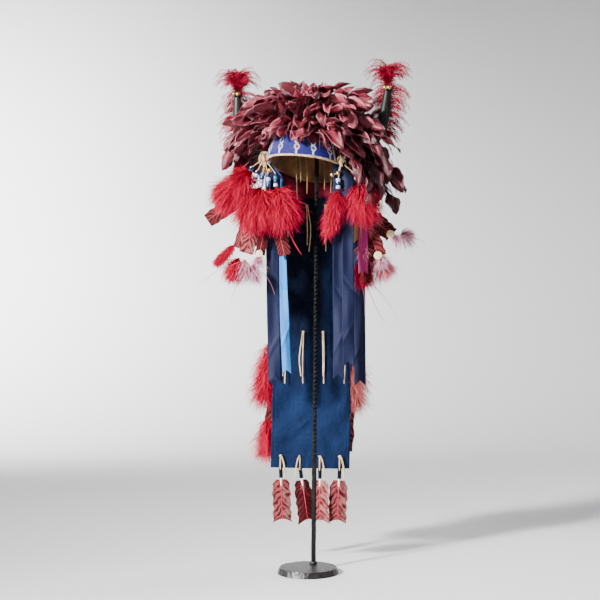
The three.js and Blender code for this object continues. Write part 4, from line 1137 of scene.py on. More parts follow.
# %% [markdown]
# Bead strands: barrel beads of glass in navy, white, teal and lavender, threaded on a hide string
# below the knot. One bead is a cylinder with its rims bevelled; each strand is that bead copied,
# turned to the string, and joined.

# %% Bead strands
GLASS = {
    "n": material("glass_navy", (0.004, 0.012, 0.07), 0.12, Coat_Weight=0.6),
    "w": material("glass_white", (0.46, 0.54, 0.74), 0.2, Coat_Weight=0.4),
    "t": material("glass_teal", (0.012, 0.12, 0.26), 0.15, Coat_Weight=0.5),
    "l": material("glass_lavender", (0.2, 0.23, 0.5), 0.2, Coat_Weight=0.4),
}
for mat in GLASS.values():
    bump(mat, noise(mat, 260, 2), 0.25, 0.0006)

deselect()
bpy.ops.mesh.primitive_cylinder_add(vertices=24, radius=BEAD_WIDE, depth=BEAD_LONG * 0.95)
pattern_bead = bpy.context.object
edit_mode()
bpy.ops.mesh.select_all(action="DESELECT")
object_mode()
for face in pattern_bead.data.polygons:
    face.select = abs(face.normal.z) > 0.9
edit_mode()
bpy.ops.mesh.select_mode(type="FACE")
bpy.ops.mesh.bevel(offset=0.0013, segments=3, affect="EDGES")
object_mode()
bpy.ops.object.shade_smooth_by_angle(angle=math.radians(60))
print("pattern bead", len(pattern_bead.data.polygons))


def turn_to(piece, way):
    """Turns an upright piece so that its Z lies along way."""
    way = unit(np.asarray(way, float))
    piece.rotation_euler = (math.acos(max(-1, min(1, way[2]))), 0, math.atan2(way[1], way[0]) + math.pi / 2)


def join_pieces(pieces, name):
    deselect()
    for piece in pieces:
        piece.select_set(True)
    bpy.context.view_layer.objects.active = pieces[0]
    if len(pieces) > 1:
        bpy.ops.object.join()
    made = bpy.context.object
    made.name = name
    settle()
    return made


def copy_of(pattern, mats):
    made = pattern.copy()
    made.data = pattern.data.copy()
    made.data.materials.clear()
    for mat in mats:
        made.data.materials.append(mat)
    bpy.context.collection.objects.link(made)
    return made


counts = {1: 0, -1: 0}
for row in STRANDS:
    side, beads, colours = row[0], row[1], row[6]
    counts[side] += 1
    start, aim = strand_start(row), strand_aim(row)
    made = []
    for i in range(beads):
        bead = copy_of(pattern_bead, [GLASS[colours[i]]])
        bead.location = start + aim * BEAD_LONG * (i + 0.5)
        turn_to(bead, aim)
        made.append(bead)
    knot = knot_centre(side)
    thread = tube_piece(
        "thread", np.linspace(knot * 0.75 + start * 0.25, start + aim * 0.002, 8), 0.0009, PALE_HIDE, 8
    )
    made.append(thread)
    name = f"bead_strand_{'left' if side == 1 else 'right'}_{counts[side]}"
    finish_piece(join_pieces(made, "beads_of_" + name), "glass_beads", name)
bpy.data.objects.remove(pattern_bead)

# %% [markdown]
# The knots at the temples are strips of pale hide tied in a small rosette. Flat loops of hide
# overlap round a wrapped middle, and their ends stick out. Bells hang below them on a thong.

# %% Knots and bells
BRASS = material("brass", (0.62, 0.42, 0.16), 0.26, 1.0)
roughness_into(BRASS, ramp(BRASS, noise(BRASS, 300, 3), [(0.35, 0.18), (0.7, 0.42)]))
colour_into(BRASS, ramp(BRASS, noise(BRASS, 120, 3), [(0.3, (0.3, 0.17, 0.05)), (0.6, (0.66, 0.46, 0.18))]))

deselect()
bpy.ops.mesh.primitive_uv_sphere_add(segments=28, ring_count=18, radius=0.0052)
pattern_bell = bpy.context.object
edit_mode()
bpy.ops.mesh.select_all(action="DESELECT")
object_mode()
for face in pattern_bell.data.polygons:
    centre = face.center
    face.select = centre.z < -0.0012 and abs(centre.x) < 0.00035 or abs(centre.z) < 0.0003
edit_mode()
bpy.ops.mesh.select_mode(type="FACE")
bpy.ops.mesh.inset(thickness=0.0002)
bpy.ops.transform.resize(value=(0.94, 0.94, 0.94))
object_mode()
bpy.ops.object.shade_smooth()


def bells_at(name, places, node_name, thong=None):
    made = []
    for i, place in enumerate(places):
        bell = copy_of(pattern_bell, [BRASS])
        bell.location = place
        bell.rotation_euler = (0.3 * i, 0.4 - 0.5 * i, i)
        made.append(bell)
    if thong is not None:
        made.append(tube_piece("thong", thong, 0.0009, PALE_HIDE, 8))
    finish_piece(join_pieces(made, name), "brass", node_name)


def hide_loop(centre, out, size, lean):
    """A flat loop of hide seen from the front, as a strip."""
    turn = np.linspace(0.15, 2 * math.pi - 0.15, 22)
    face = np.cross(out, UP)
    across = out * math.cos(lean) + UP * math.sin(lean)
    along = -out * math.sin(lean) + UP * math.cos(lean)
    spine = centre + across * (np.sin(turn) * size * 0.45)[:, None]
    spine = spine + along * ((1 - np.cos(turn)) * size * 0.5)[:, None]
    spine = spine + face * (np.sin(turn * 0.5) * 0.0035)[:, None]
    return spine, np.broadcast_to(face, spine.shape)


for side, side_name in ((-1, "right"), (1, "left")):
    centre = knot_centre(side)
    out = unit(outward(side * KNOT_ANGLE) * 0.2 + VIEW_SIDE * side)
    face = np.cross(out, UP)
    bundle = Bundle()
    for k in range(9 if side < 0 else 5):
        lean = k * GOLDEN_TURN + 0.4 if side < 0 else (k - 2) * 0.3
        size = (0.015 if abs(math.cos(lean)) > 0.5 else 0.0115) * (1 if side < 0 else 0.8)
        spine, flat = hide_loop(centre, out, size, lean)
        spine = spine + face * (0.0012 * (k % 4) - 0.002)
        bundle.strips(spine[None], flat[None], np.full(len(spine), 0.0042), [0.5])
    for k in range(5):
        lean = 0.6 + k * 1.25
        way = out * math.cos(lean) * (0.6 if side < 0 else 0.25) + UP * math.sin(lean)
        s = np.linspace(0, 1, 8)[:, None]
        spine = centre + way * s * 0.016 + face * 0.004 * np.sin(s * 3)
        flat = np.broadcast_to(face, spine.shape) * 0.5 + 0.5 * out
        bundle.strips(spine[None], flat[None], np.full(8, 0.0035), [0.5])
    knot = bundle.piece(f"hide_knot_{side_name}", PALE_HIDE)
    thicken(knot, 0.0011, 0)
    deselect()
    bpy.ops.mesh.primitive_torus_add(
        major_radius=0.0042, minor_radius=0.0026, major_segments=24, minor_segments=10, location=centre
    )
    wrap = bpy.context.object
    wrap.rotation_euler = (0.2, 1.3, 0.2)
    wrap.data.materials.append(PALE_HIDE)
    knot = join_pieces([knot, wrap], f"hide_knot_{side_name}")
    deselect()
    finish_piece(knot, "pale_hide", f"temple_knot_{side_name}")
    places = [centre + np.array([-side * i, -f, -d]) / 1000 for i, f, d in ((4, 9, 24), (17, 12, 28))]
    thong = np.concatenate([np.linspace(centre, places[0], 8), np.linspace(places[0], places[1], 8)[1:]])
    bells_at(f"bells_at_the_temple_{side_name}", places, f"temple_bells_{side_name}", thong)
print("knots and bells made")

# %% [markdown]
# The horns are bison horn: black, smooth, with a dull sheen and faint growth lines round the lower
# part. A circle is swept along the same course as the solid's. A strip of hackle feathers runs up the
# back of each horn; its narrow feathers arch out and hang down on both sides. A tuft of down and
# hackles tops each tip, above two bells.

# %% Horns
HORN = material("black_horn", (0.008, 0.008, 0.008), 0.6, Specular_IOR_Level=0.25)
streak = noise(HORN, 9, 4)
colour_into(HORN, ramp(HORN, streak, [(0.35, (0.006, 0.006, 0.006)), (0.7, (0.035, 0.034, 0.03))]))
roughness_into(HORN, ramp(HORN, noise(HORN, 50, 3), [(0.3, 0.4), (0.75, 0.58)]))
bump(HORN, noise(HORN, 90, 3), 0.2, 0.0008)
HORN_REACH, HORN_BACK, HORN_SWAY, HORN_RISE, HORN_ROOT = 0.173, 0.018, 0.008, 0.126, 0.05
TIP_R, ROOT_R = 0.007, 0.015
HACKLE_BARBS, HACKLE_VANE = 20, 0.0085
COURSE = np.array(
    [
        # out and rise as shares, girth from tip to root
        (0.42, 0.0, 1.0),
        (0.7, 0.0, 1.0),
        (0.86, 0.09, 0.9),
        (0.93, 0.25, 0.76),
        (0.97, 0.48, 0.58),
        (0.99, 0.72, 0.33),
        (1.0, 1.0, 0.0),
    ]
)


def smooth_rows(rows, count):
    """Catmull-Rom through rows of numbers."""
    rows = np.asarray(rows, float)
    padded = np.concatenate([2 * rows[:1] - rows[1:2], rows, 2 * rows[-1:] - rows[-2:-1]])
    x = np.linspace(0, len(rows) - 1 - 1e-9, count)
    i = x.astype(int)
    t = (x - i)[:, None]
    p0, p1, p2, p3 = (padded[i + k] for k in range(4))
    square = 2 * p0 - 5 * p1 + 4 * p2 - p3
    cube = 3 * p1 - p0 - 3 * p2 + p3
    return 0.5 * (2 * p1 + (p2 - p0) * t + square * t**2 + cube * t**3)


def horn_course(side, count):
    rows = smooth_rows(COURSE, count)
    place = np.stack(
        [
            CAP_X + HORN_SWAY * rows[:, 1] + side * HORN_REACH * rows[:, 0],
            np.full(count, CAP_Y + HORN_BACK),
            RIM + HORN_ROOT + HORN_RISE * rows[:, 1],
        ],
        1,
    )
    return place, TIP_R + (ROOT_R - TIP_R) * rows[:, 2]


def hackles(bundle, roots, headings, lengths, slope_from, slope_to, tones, twist=0.5):
    """Narrow feathers: a thin shaft with short barbs on both sides, longest near the root."""
    rows, n = 9, len(roots)
    barbs, vane = HACKLE_BARBS, HACKLE_VANE
    spine = drape(
        roots, headings, np.radians(slope_from + CHANCE.uniform(-14, 14, n)),
        np.radians(slope_to + CHANCE.uniform(-12, 12, n)), lengths, rows, CHANCE.uniform(-twist, twist, n),
    )
    bundle.tubes(spine, np.linspace(0.0005, 0.00015, rows), np.clip(tones + 0.2, 0, 1), 3)
    along = unit(np.gradient(spine, axis=1))
    place = np.linspace(0.05, 0.97, barbs)
    low, share = between_rows(rows, place)
    root = spine[:, low] * (1 - share) + spine[:, low + 1] * share
    way = along[:, low]
    flat = unit(np.cross(way, CHANCE.normal(0, 0.35, (n, 1, 3)) + np.array([0, 1.0, 0.2])))
    for sign in (-1, 1):
        reach = vane * (1 - 0.75 * place**1.5)[None] * CHANCE.uniform(0.7, 1.2, (n, barbs))
        s = np.linspace(0, 1, 4)
        aim = unit(flat * sign * 0.8 + way * 0.75)
        lines = root[:, :, None] + aim[:, :, None] * (reach[..., None] * s)[..., None]
        lines[..., 2] -= 0.2 * reach[..., None] * s**2
        lines = wander(lines.reshape(-1, 4, 3), vane * 0.1)
        facing = CHANCE.normal(0, 1, (len(lines), 1, 3)) + np.array([0, 1.5, 0])
        wide = unit(np.cross(np.gradient(lines, axis=1), facing))
        bundle.strips(lines, wide, 0.0009 * np.array([1, 0.9, 0.6, 0.15]), np.repeat(tones, barbs))


for side, side_name in ((-1, "right"), (1, "left")):
    place, radius = horn_course(side, 60)
    step = np.arange(60)
    girth = radius * (1 + 0.012 * np.sin(step * 1.9) * (step < 40))
    capped = np.concatenate([place, place[-1:] + [[0, 0, 0.002]]])
    horn = tube_piece(f"horn_{side_name}_polished", capped, np.concatenate([girth, [0.003]]), HORN, 28)
    finish_piece(horn, "horn_black", f"horn_{side_name}")
    tip = place[-1]
    bells_at(
        f"bells_on_horn_{side_name}",
        [tip + np.array([dx, -TIP_R - 0.0004 - 0.0046, -TIP_R]) for dx in (-0.0041, 0.0041)],
        f"horn_bells_{side_name}",
    )
    bundle = Bundle()
    fringe_line = place[20:] + np.stack([0 * radius[20:], radius[20:] + 0.0012, 0 * radius[20:]], 1)
    bundle.tubes(fringe_line[None], 0.0012, [0.5], 6)
    count = 150
    pick = np.linspace(0, len(fringe_line) - 1, count).astype(int)
    ways = np.where(np.arange(count) % 2 == 0, 0.0, math.pi)
    spread = CHANCE.uniform(-0.7, 0.7, count)
    headings = ways + np.where(ways == 0, 0.12, -0.12) + spread
    lengths = CHANCE.uniform(0.03, 0.064, count)
    hackles(bundle, fringe_line[pick], headings, lengths, 34, -66, CHANCE.uniform(0.0, 0.6, count))
    barbs_on(bundle, fringe_line[None, ::4], 900, 0.017, 0.0009, np.array([0.4]), spread=1.1, droop=0.2)
    fringe = bundle.piece(f"hackles_on_horn_{side_name}", HACKLE_RED)
    finish_piece(fringe, "plume_red", f"horn_hackles_{side_name}")
    bundle = Bundle()
    base = tip + np.array([0, 0, 0.002])
    count = 74
    headings = CHANCE.uniform(0, 2 * math.pi, count)
    lift = CHANCE.uniform(0.0, 0.028, count)
    roots = base + np.stack([0 * lift, 0 * lift, lift], 1)
    lengths = CHANCE.uniform(0.04, 0.076, count)
    tones = CHANCE.uniform(0, 0.5, count)
    hackles(bundle, roots, headings, lengths, 76, -62, tones, twist=0.9)
    s = np.linspace(0, 1, 7)[None, :, None]
    way = unit(CHANCE.normal(0, 0.2, (10, 1, 3)) + np.array([0, 0, 1.0]))
    shafts = base - np.array([0, -0.004, 0.014]) + way * s * 0.052
    barbs_on(bundle, shafts, 130, 0.017, 0.0009, CHANCE.uniform(0, 0.6, 10), spread=1.0, droop=0.3)
    tuft = bundle.piece(f"plume_on_horn_{side_name}", HACKLE_RED)
    finish_piece(tuft, "plume_red", f"horn_plume_{side_name}")
    print("horn", side_name, len(fringe.data.polygons), len(tuft.data.polygons))
bpy.data.objects.remove(pattern_bell)

# %% [markdown]
# Barred side feathers are stiff vanes cut square at the end. Each is one curved grid with a shaft
# laid on it and down at its quill. Three carry a disc of pale hide at the tip and a fan of pale down
# behind it.

# %% Side feathers
SIDE_FEATHERS = [
    # node, side, rim angle, from and to as out, back, down from the knot, width, disc, material, tone
    ("side_feather_left_1", 1, 98, (44, 54, 106), (100, 62, 156), 38, 9, BARRED_RED, 0.6),
    ("side_feather_left_2", 1, 90, (40, 44, 118), (74, 46, 204), 40, 9, BARRED_RED, 0.5),
    ("side_feather_left_3", 1, 104, (38, 40, 170), (46, 44, 262), 24, 0, BARRED_RED, 0.1),
    ("side_feather_right_1", -1, 96, (48, 16, 72), (136, 12, 134), 38, 0, BARRED_RED, 0.55),
    ("side_feather_right_2", -1, 88, (34, 12, 98), (66, 10, 196), 24, 0, BARRED_PINK, 0.3),
    ("side_feather_right_3", -1, 80, (18, 8, 116), (44, 4, 208), 36, 0, BARRED_PINK, 0.8),
    ("side_feather_right_4", -1, 74, (-4, 5, 124), (12, 4, 212), 26, 8, BARRED_RED, 0.0),
    ("side_feather_right_5", -1, 67, (-24, 4, 130), (-46, 4, 214), 32, 0, BARRED_RED, 0.4),
]
CUT_VANE = np.array([0.22, 0.6, 0.82, 0.94, 1.0, 1.0, 1.0, 0.98, 0.96, 0.94, 0.92, 0.9, 0.88])
DISC_HIDE = material("disc_hide", (0.74, 0.58, 0.36), 0.7)
colour_into(
    DISC_HIDE, ramp(DISC_HIDE, noise(DISC_HIDE, 200, 3), [(0.3, (0.5, 0.34, 0.16)), (0.7, (0.8, 0.66, 0.44))])
)


def one_vane(bundle, spine, across, width, tone, shape, cup, curl):
    """The vane of a single feather."""
    width, tone, cup, curl = (np.array([value]) for value in (width, tone, cup, curl))
    leaf_blades(bundle, spine[None], across[None], width, tone, shape, cup, curl)


def vane_feather(bundle, root, tip, width, tone, bow):
    """A vane cut square at its end, with its shaft, from root to tip."""
    rows, back = len(CUT_VANE), np.array([0, 1, 0])
    s = np.linspace(0, 1, rows)[:, None]
    spine = root + (tip - root) * s + back * bow * np.sin(s * math.pi)
    one_vane(bundle, spine, unit(np.cross(tip - root, back)), width, tone, CUT_VANE, 0.16, 0.05)
    bundle.tubes((spine - back * 0.0006)[None], np.linspace(0.0011, 0.0005, rows), [0.5], 6, 1)


for name, side, rim, start, end, width, disc, mat, tone in SIDE_FEATHERS:
    knot = knot_centre(side)
    root, tip = (knot + np.array([side * p[0], p[1], -p[2]]) / 1000 for p in (start, end))
    bundle = Bundle()
    vane_feather(bundle, root, tip, width / 1000, tone, 0.004)
    seat = cap_point(side * rim, 0, -0.001, -0.004)
    stem = np.stack([seat, seat + [side * 0.007, 0, -0.016], root])
    bundle.tubes(smooth_rows(stem, 20)[None], 0.0011, [0.5], 6, 1)
    along = unit(tip - root)
    # down at the quill
    fluff = root + along * np.linspace(-0.006, 0.03, 4)[:, None]
    barbs_on(bundle, fluff[None], 260, 0.02, 0.0008, np.array([0.5]), slot=2)
    if disc:
        fan = tip[None] + along * np.linspace(-0.002, 0.014, 4)[:, None] + np.array([0, 0.003, 0])
        barbs_on(bundle, fan[None], 240, 0.026, 0.0007, np.array([0.3]), spread=0.7, droop=0.1, slot=3)
    feather = bundle.piece("barred_" + name, [mat, QUILL_RED, DOWN_RED if side < 0 else DOWN_PINK, DOWN_PALE])
    if disc:
        deselect()
        bpy.ops.mesh.primitive_cylinder_add(vertices=32, radius=disc / 1000, depth=0.003)
        button = bpy.context.object
        bevel = button.modifiers.new("rim", "BEVEL")
        bevel.width, bevel.segments = 0.0007, 2
        apply_modifiers(button)
        button.location = tip - along * disc * 0.0003 - np.array([0, 0.003, 0])
        button.rotation_euler = (math.radians(82), 0, 0.2)
        button.data.materials.append(DISC_HIDE)
        bpy.ops.object.shade_smooth_by_angle(angle=math.radians(40))
        feather = join_pieces([feather, button], "barred_" + name)
    finish_piece(feather, "barred_red", name)
print("side feathers made")

# %% [markdown]
# Ribbons are sheets: grosgrain, with fine ribs across, cut to a swallowtail. Each hangs from the rim
# and turns a little about its own length, so the light runs along it. The notch is in the outline of
# the grid itself: the last rows follow the cut.

# %% Ribbons


def ribbon_material(name, colour, dark, roughness):
    mat = material(name, colour, roughness, Specular_IOR_Level=0.16)
    u, v = map_axes(mat)
    wave = maths(mat, "SINE", times(mat, v, 900))
    rib = plus(mat, times(mat, wave, 0.5), 0.5)
    edge = ramp(mat, from_middle(mat, u), [(0.44, 0.0), (0.48, 1.0)])
    body = mix(mat, times(mat, rib, 0.4), colour, dark)
    body = mix(mat, times(mat, edge, 0.35), body, dark)
    colour_into(mat, body)
    bump(mat, rib, 0.35, 0.0005)
    return mat


GROSGRAIN = {
    "navy": ribbon_material("navy_grosgrain", (0.005, 0.0078, 0.034), (0.0018, 0.0028, 0.013), 0.65),
    "sky": ribbon_material("sky_grosgrain", (0.03, 0.18, 0.48), (0.012, 0.1, 0.32), 0.45),
    "rose": ribbon_material("rose_grosgrain", (0.36, 0.015, 0.13), (0.16, 0.004, 0.05), 0.4),
    "tan": ribbon_material("tan_grosgrain", (0.5, 0.28, 0.1), (0.28, 0.13, 0.04), 0.45),
}
RIBBONS = [
    # node, rim angle, x and y of the hang, width share, lift of the end, sway, gather, turn in degrees
    ("ribbon_right_navy_1", -84, -76, -8, 1.0, -5, 6, 1.0, 5),
    ("ribbon_right_navy_2", -97, -74, 8, 0.9, -8, 4, 1.0, -4),
    ("ribbon_right_sky", -72, -52, -14, 0.7, 16, 12, 0.25, 24),
    ("ribbon_left_navy_1", 73, 103, -37, 0.9, 34, 2, 1.0, 6),
    ("ribbon_left_navy_2", 66, 80, -29, 0.85, 6, 1, 1.0, -12),
    ("ribbon_left_navy_3", 110, 114, 28, 0.9, -10, 2, 1.0, 8),
    ("ribbon_left_rose", 86, 128, -2, 0.75, 236, 2, 1.0, 9),
    ("ribbon_left_tan", 80, 118, -7, 0.6, 304, 0, 1.0, 0),
]
RIBBON_WIDE, RIBBON_END = 0.029, 0.420
for name, rim, x, y, wide, lift, sway, gather, twist in RIBBONS:
    colour = name.split("_")[2]
    width = RIBBON_WIDE * wide
    seat = cap_point(rim, 0, 0, 0.003)
    end = RIBBON_END + lift / 1000
    shoulder = seat[2] - 0.036
    line = [seat] + [
        np.array([CAP_X + x / 1000 + sway / 1000 * s * s, CAP_Y + y / 1000, shoulder * (1 - s) + end * s])
        for s in (0, 0.14, 0.34, 0.58, 0.8, 1.0)
    ]
    line = np.array(line)
    rows, cols = 120, 11
    cut = np.concatenate([[0], np.cumsum(np.linalg.norm(np.diff(line, axis=0), axis=1))])
    run = np.linspace(0, cut[-1], rows)
    spine = np.stack([np.interp(run, cut, line[:, k]) for k in range(3)], 1)
    length = cut[-1]
    phase = rim * 0.1
    share = run / length
    across = unit(np.array([1, 0.26, 0]))
    front = np.array([0.26, -1, 0]) / math.hypot(0.26, 1)
    u = np.linspace(-0.5, 0.5, cols)
    part = np.clip(share / 0.7, 0, 1)
    opened = gather + (1 - gather) * part**2 * (3 - 2 * part)
    widen = np.interp(run, [0, 0.036, 0.055], [min(0.4, gather), 0.9 * opened[12], 1.0])
    widen = widen * opened / opened.max() * width
    # slow turns, a few sharp creases and a ripple along the edges
    angle = np.radians(twist * np.sin(share * 5 + phase) + 10 * np.sin(share * 17 + phase * 3) * share)
    creases = [(0.34 + 0.02 * math.sin(rim), 0.0022, 1.2), (0.6, -0.0018, -1.6), (0.83, 0.0024, 2.0)]
    crease = sum(
        depth * np.exp(-(((share - at + 0.05 * tilt * u[:, None]) / 0.012) ** 2))
        for at, depth, tilt in creases
    ).T
    sway_y = 0.0035 * np.sin(share * 9 + phase) * share**0.6
    trough = 0.0016 * np.cos(u * 6)[None] * np.sin(run * 20 + phase)[:, None]
    facing = across * np.cos(angle)[:, None] + front * np.sin(angle)[:, None]
    points = spine[:, None] + facing[:, None] * (widen[:, None] * u[None])[..., None]
    points += front * (sway_y[:, None] + trough + crease)[..., None]
    # swallowtail: the middle of the last rows rises
    tail = np.clip((run - (length - 0.03)) / 0.03, 0, 1)
    points[..., 2] += (width * 0.46) * (1 - np.abs(u) * 2)[None] * tail[:, None]
    piece = sheet_grid("sheet_of_" + name, points, GROSGRAIN[colour])
    finish_piece(piece, colour + "_ribbon", name)
    thicken(piece, 0.0005, 0)
print("ribbons made", len(RIBBONS))

# %% [markdown]
# The trailer is a strip of blue cotton that laps over the nape and hangs straight down. It leaves the
# rim as an arc and soon hangs flat, with slack folds that run down from the corners. Its edges are
# hemmed. The same two functions that shaped the solid give its places here, and the folds are added
# to them. A red strip backs its top.

# %% Trailer cloth
TRAILER_WIDE, HEM, LAP, HALF_TURN = 0.182, 0.214, 0.020, 60.0
TWIST = math.radians(10)
HEM_SIDE = np.array([math.cos(TWIST), math.sin(TWIST), 0])
HEM_BACK = np.array([-HEM_SIDE[1], HEM_SIDE[0], 0])
NAPE = cap_point(180, 0)
GAP = 0.0004


def trailer_point(share, z, back):
    share, z = np.broadcast_arrays(np.asarray(share, float), np.asarray(z, float))
    t = 180 - share * 2 * HALF_TURN
    offset = GAP + back
    rim = cap_point(t, 0, offset)
    high = z > rim[..., 2]
    over = cap_point(t, np.clip((z - rim[..., 2]) / (2 * BAND), 0, 1), offset)
    fall = (NAPE[2] - z) / (NAPE[2] - HEM)
    x = np.clip((rim[..., 2] - z) / (NAPE[2] - HEM) / 0.32, 0, 1)
    loose = x * x * (3 - 2 * x)
    wave = 0.0024 * loose * np.sin(share * 5 + fall * 4) * (0.4 + fall)
    flat = np.stack([NAPE[0] - 0.017 * fall, NAPE[1] + 0.002 + 0 * z, z], -1)
    flat = flat + HEM_SIDE * (share * TRAILER_WIDE)[..., None] + HEM_BACK * (wave + offset)[..., None]
    below = rim.copy()
    below[..., 2] = z
    below = below * (1 - loose[..., None]) + flat * loose[..., None]
    return np.where(high[..., None], over, below)


CLOTH_FRONT, CLOTH_BACK = 0.0016, 0.0032
COTTON = material("blue_cotton", (0.016, 0.055, 0.18), 0.9, Specular_IOR_Level=0.1)
u, v = map_axes(COTTON)
warp = maths(COTTON, "SINE", times(COTTON, u, 900))
weft = maths(COTTON, "SINE", times(COTTON, v, 3300))
weave = times(COTTON, warp, weft)
shade = noise(COTTON, 14, 4)
hem_u = ramp(COTTON, from_middle(COTTON, u), [(0.455, 0.0), (0.46, 1.0), (0.47, 0.0)])
dye_and_painted_shadow = ramp(COTTON, shade, [(0.3, (0.002, 0.0068, 0.028)), (0.7, (0.0044, 0.0155, 0.056))])
dye_and_painted_shadow = mix(COTTON, times(COTTON, plus(COTTON, weave, 1.0), 0.12), dye_and_painted_shadow, (0.012, 0.03, 0.09))
# painted shadow: the upper part of the cloth on the wearer's right is darkened where the plumes and ribbons
# shade it
painted_shadow = times(
    COTTON, ramp(COTTON, u, [(0.3, 0.0), (0.42, 0.75)]), ramp(COTTON, v, [(0.48, 1.0), (0.62, 0.0)])
)
dye_and_painted_shadow = mix(COTTON, painted_shadow, dye_and_painted_shadow, (0.0006, 0.0014, 0.005))
colour_into(COTTON, mix(COTTON, times(COTTON, hem_u, 0.6), dye_and_painted_shadow, (0.01, 0.03, 0.09)))
creases = plus(COTTON, noise(COTTON, 26, 5, 0.62), times(COTTON, noise(COTTON, 120, 3), 0.35))
relief = plus(COTTON, times(COTTON, weave, 0.12), times(COTTON, hem_u, -0.8))
bump(COTTON, plus(COTTON, relief, times(COTTON, creases, 4.2)), 0.9, 0.0026)

rows, cols = 200, 60
share = np.linspace(0.5, -0.5, cols)
top = rim_z(180 - share * 2 * HALF_TURN) + LAP
down = np.linspace(0, 1, rows)
heights = top[None, :] * (1 - down[:, None]) + HEM * down[:, None]
points = trailer_point(np.broadcast_to(share, (rows, cols)), heights, CLOTH_FRONT + 0.0008)
fall = down[:, None]
S = np.broadcast_to(share, (rows, cols))
def hump(values, middle, width):
    """A bump of height 1 around middle."""
    return np.exp(-(((values - middle) / width) ** 2))


folds = 0.0034 * np.sin((S * 2.2 + fall * 6.5) * 6) * hump(fall, 0.82, 0.12) * (0.4 + np.abs(S) * 2)
long_folds = 0.0022 * np.sin(S * 22 + np.sin(fall * 9) * 1.4) * np.clip(fall * 3 - 0.4, 0, 1)
folds = folds + long_folds * (1 - fall * 0.55) * (1 - (2 * S) ** 2)
folds = folds + 0.0026 * np.sin((S * 4 - fall * 9) * 5 + 1) * hump(S, 0.3, 0.16) * hump(fall, 0.9, 0.08)
# puckers run in from the hems, and two slanting folds cross the lower half
pucker = np.sin(fall * 330 + 3 * np.sin(fall * 41)) * hump(0.5 - np.abs(S), 0, 0.07)
pucker = pucker * (0.5 + 0.5 * np.sin(fall * 23) ** 2)
hem_pucker = np.sin(S * 60 + 2 * np.sin(S * 13)) * hump(fall, 1, 0.03)
slant = hump(fall + 0.22 * S, 0.83, 0.012) * hump(S, -0.06, 0.2)
slant = slant + 0.8 * hump(fall - 0.3 * S, 0.9, 0.01) * hump(S, 0.28, 0.12)
folds = folds + 0.0011 * pucker * (fall > 0.1) + 0.0012 * hem_pucker - 0.003 * slant
points += HEM_BACK * folds[..., None]
hem_edge = (np.abs(S) > 0.455) | (fall > 0.985)
points -= HEM_BACK * (0.0004 * hem_edge)[..., None]
trailer = sheet_grid("trailer_of_blue_cotton", points, COTTON)
finish_piece(trailer, "blue_cotton", "trailer_cloth")
thicken(trailer, 0.0008, 0)
length = float(np.mean(top) - HEM)

RED_CLOTH = material("red_cloth", (0.08, 0.003, 0.01), 0.9, Specular_IOR_Level=0.1)
bump(RED_CLOTH, noise(RED_CLOTH, 500, 2), 0.4, 0.0005)
colour_into(
    RED_CLOTH,
    ramp(RED_CLOTH, noise(RED_CLOTH, 30), [(0.3, (0.04, 0.001, 0.006)), (0.7, (0.1, 0.004, 0.014))]),
)
rows = 14
down = np.linspace(0, 1, rows)[:, None]
header_top = rim_z(180 - share * 2 * HALF_TURN) + 0.012
heights = header_top[None] * (1 - down) + (NAPE[2] - 0.034) * down
points = trailer_point(np.broadcast_to(share, (rows, cols)), heights, 0.0006)
header = sheet_grid("red_strip_of_the_trailer", points, RED_CLOTH)
finish_piece(header, "red_cloth", "trailer_header")
thicken(header, 0.0008, 0)
print("trailer", len(trailer.data.polygons))

# %% [markdown]
# Thongs of pale hide are tied through the cloth in four columns; they hold the feathers on its back,
# and their ends hang on the inside. At the hem each comes through a hole and carries a cut feather:
# a cloth wrap round the quill, a short white stub, a red shaft and a barred vane with a notched end.
# A tie and four thongs hang inside the cap, painted darker for the shade there.

# %% Ties, pendants and the feathers on the back
TIE_SPACE, TIE_RISE = TRAILER_WIDE / 4, 0.026


def column_share(column):
    return (column - 1.5) * TIE_SPACE / TRAILER_WIDE


def tie_at(column, rise, back):
    return trailer_point(column_share(column), HEM + rise, back)


def hang_cord(name, points, radius, node=None, count=40, mat=PALE_HIDE):
    """A thong of hide as a tube."""
    line = smooth_rows(points, count)
    piece = tube_piece(name, line, radius, mat, 10)
    finish_piece(piece, "pale_hide", *([node] if node else []))
    return piece


ROW_UP, ROW_LOW = (RIM - HEM) * 0.884, (RIM - HEM) * 0.46
tie_count = 0
for column in range(4):
    for rise, drop in ((ROW_UP, 0.105), (ROW_LOW, 0.118)):
        at = tie_at(column, rise, CLOTH_FRONT - 0.002)
        loose = 0.35 if column == 2 else 1.0
        for k in (0, 1):
            lean = ((k - 0.5) * 0.0044 + 0.003 * math.sin(column * 2.1 + rise * 9)) * loose
            low = at + HEM_SIDE * lean - HEM_BACK * (0.004 + 0.003 * k) - UP * drop * (0.86 + 0.14 * k)
            middle = at + HEM_SIDE * lean * 1.7 - HEM_BACK * 0.004 - UP * drop * 0.5
            knot = at - HEM_BACK * (0.0025 + 0.0012 * k) + HEM_SIDE * (k - 0.5) * 0.0024
            tie_count += 1
            hang_cord(f"tie_of_the_trailer_{tie_count}", np.stack([knot, middle, low]), 0.0013)
        knot_ring = at - HEM_BACK * 0.002 + np.outer(np.linspace(-0.0032, 0.0032, 9), HEM_SIDE)
        girth = 0.0019 * np.cos(np.linspace(-1.2, 1.2, 9)) + 0.0004
        wrap = tube_piece(f"knot_of_the_tie_{tie_count}", knot_ring, girth, PALE_HIDE, 10)
        finish_piece(wrap, "pale_hide")

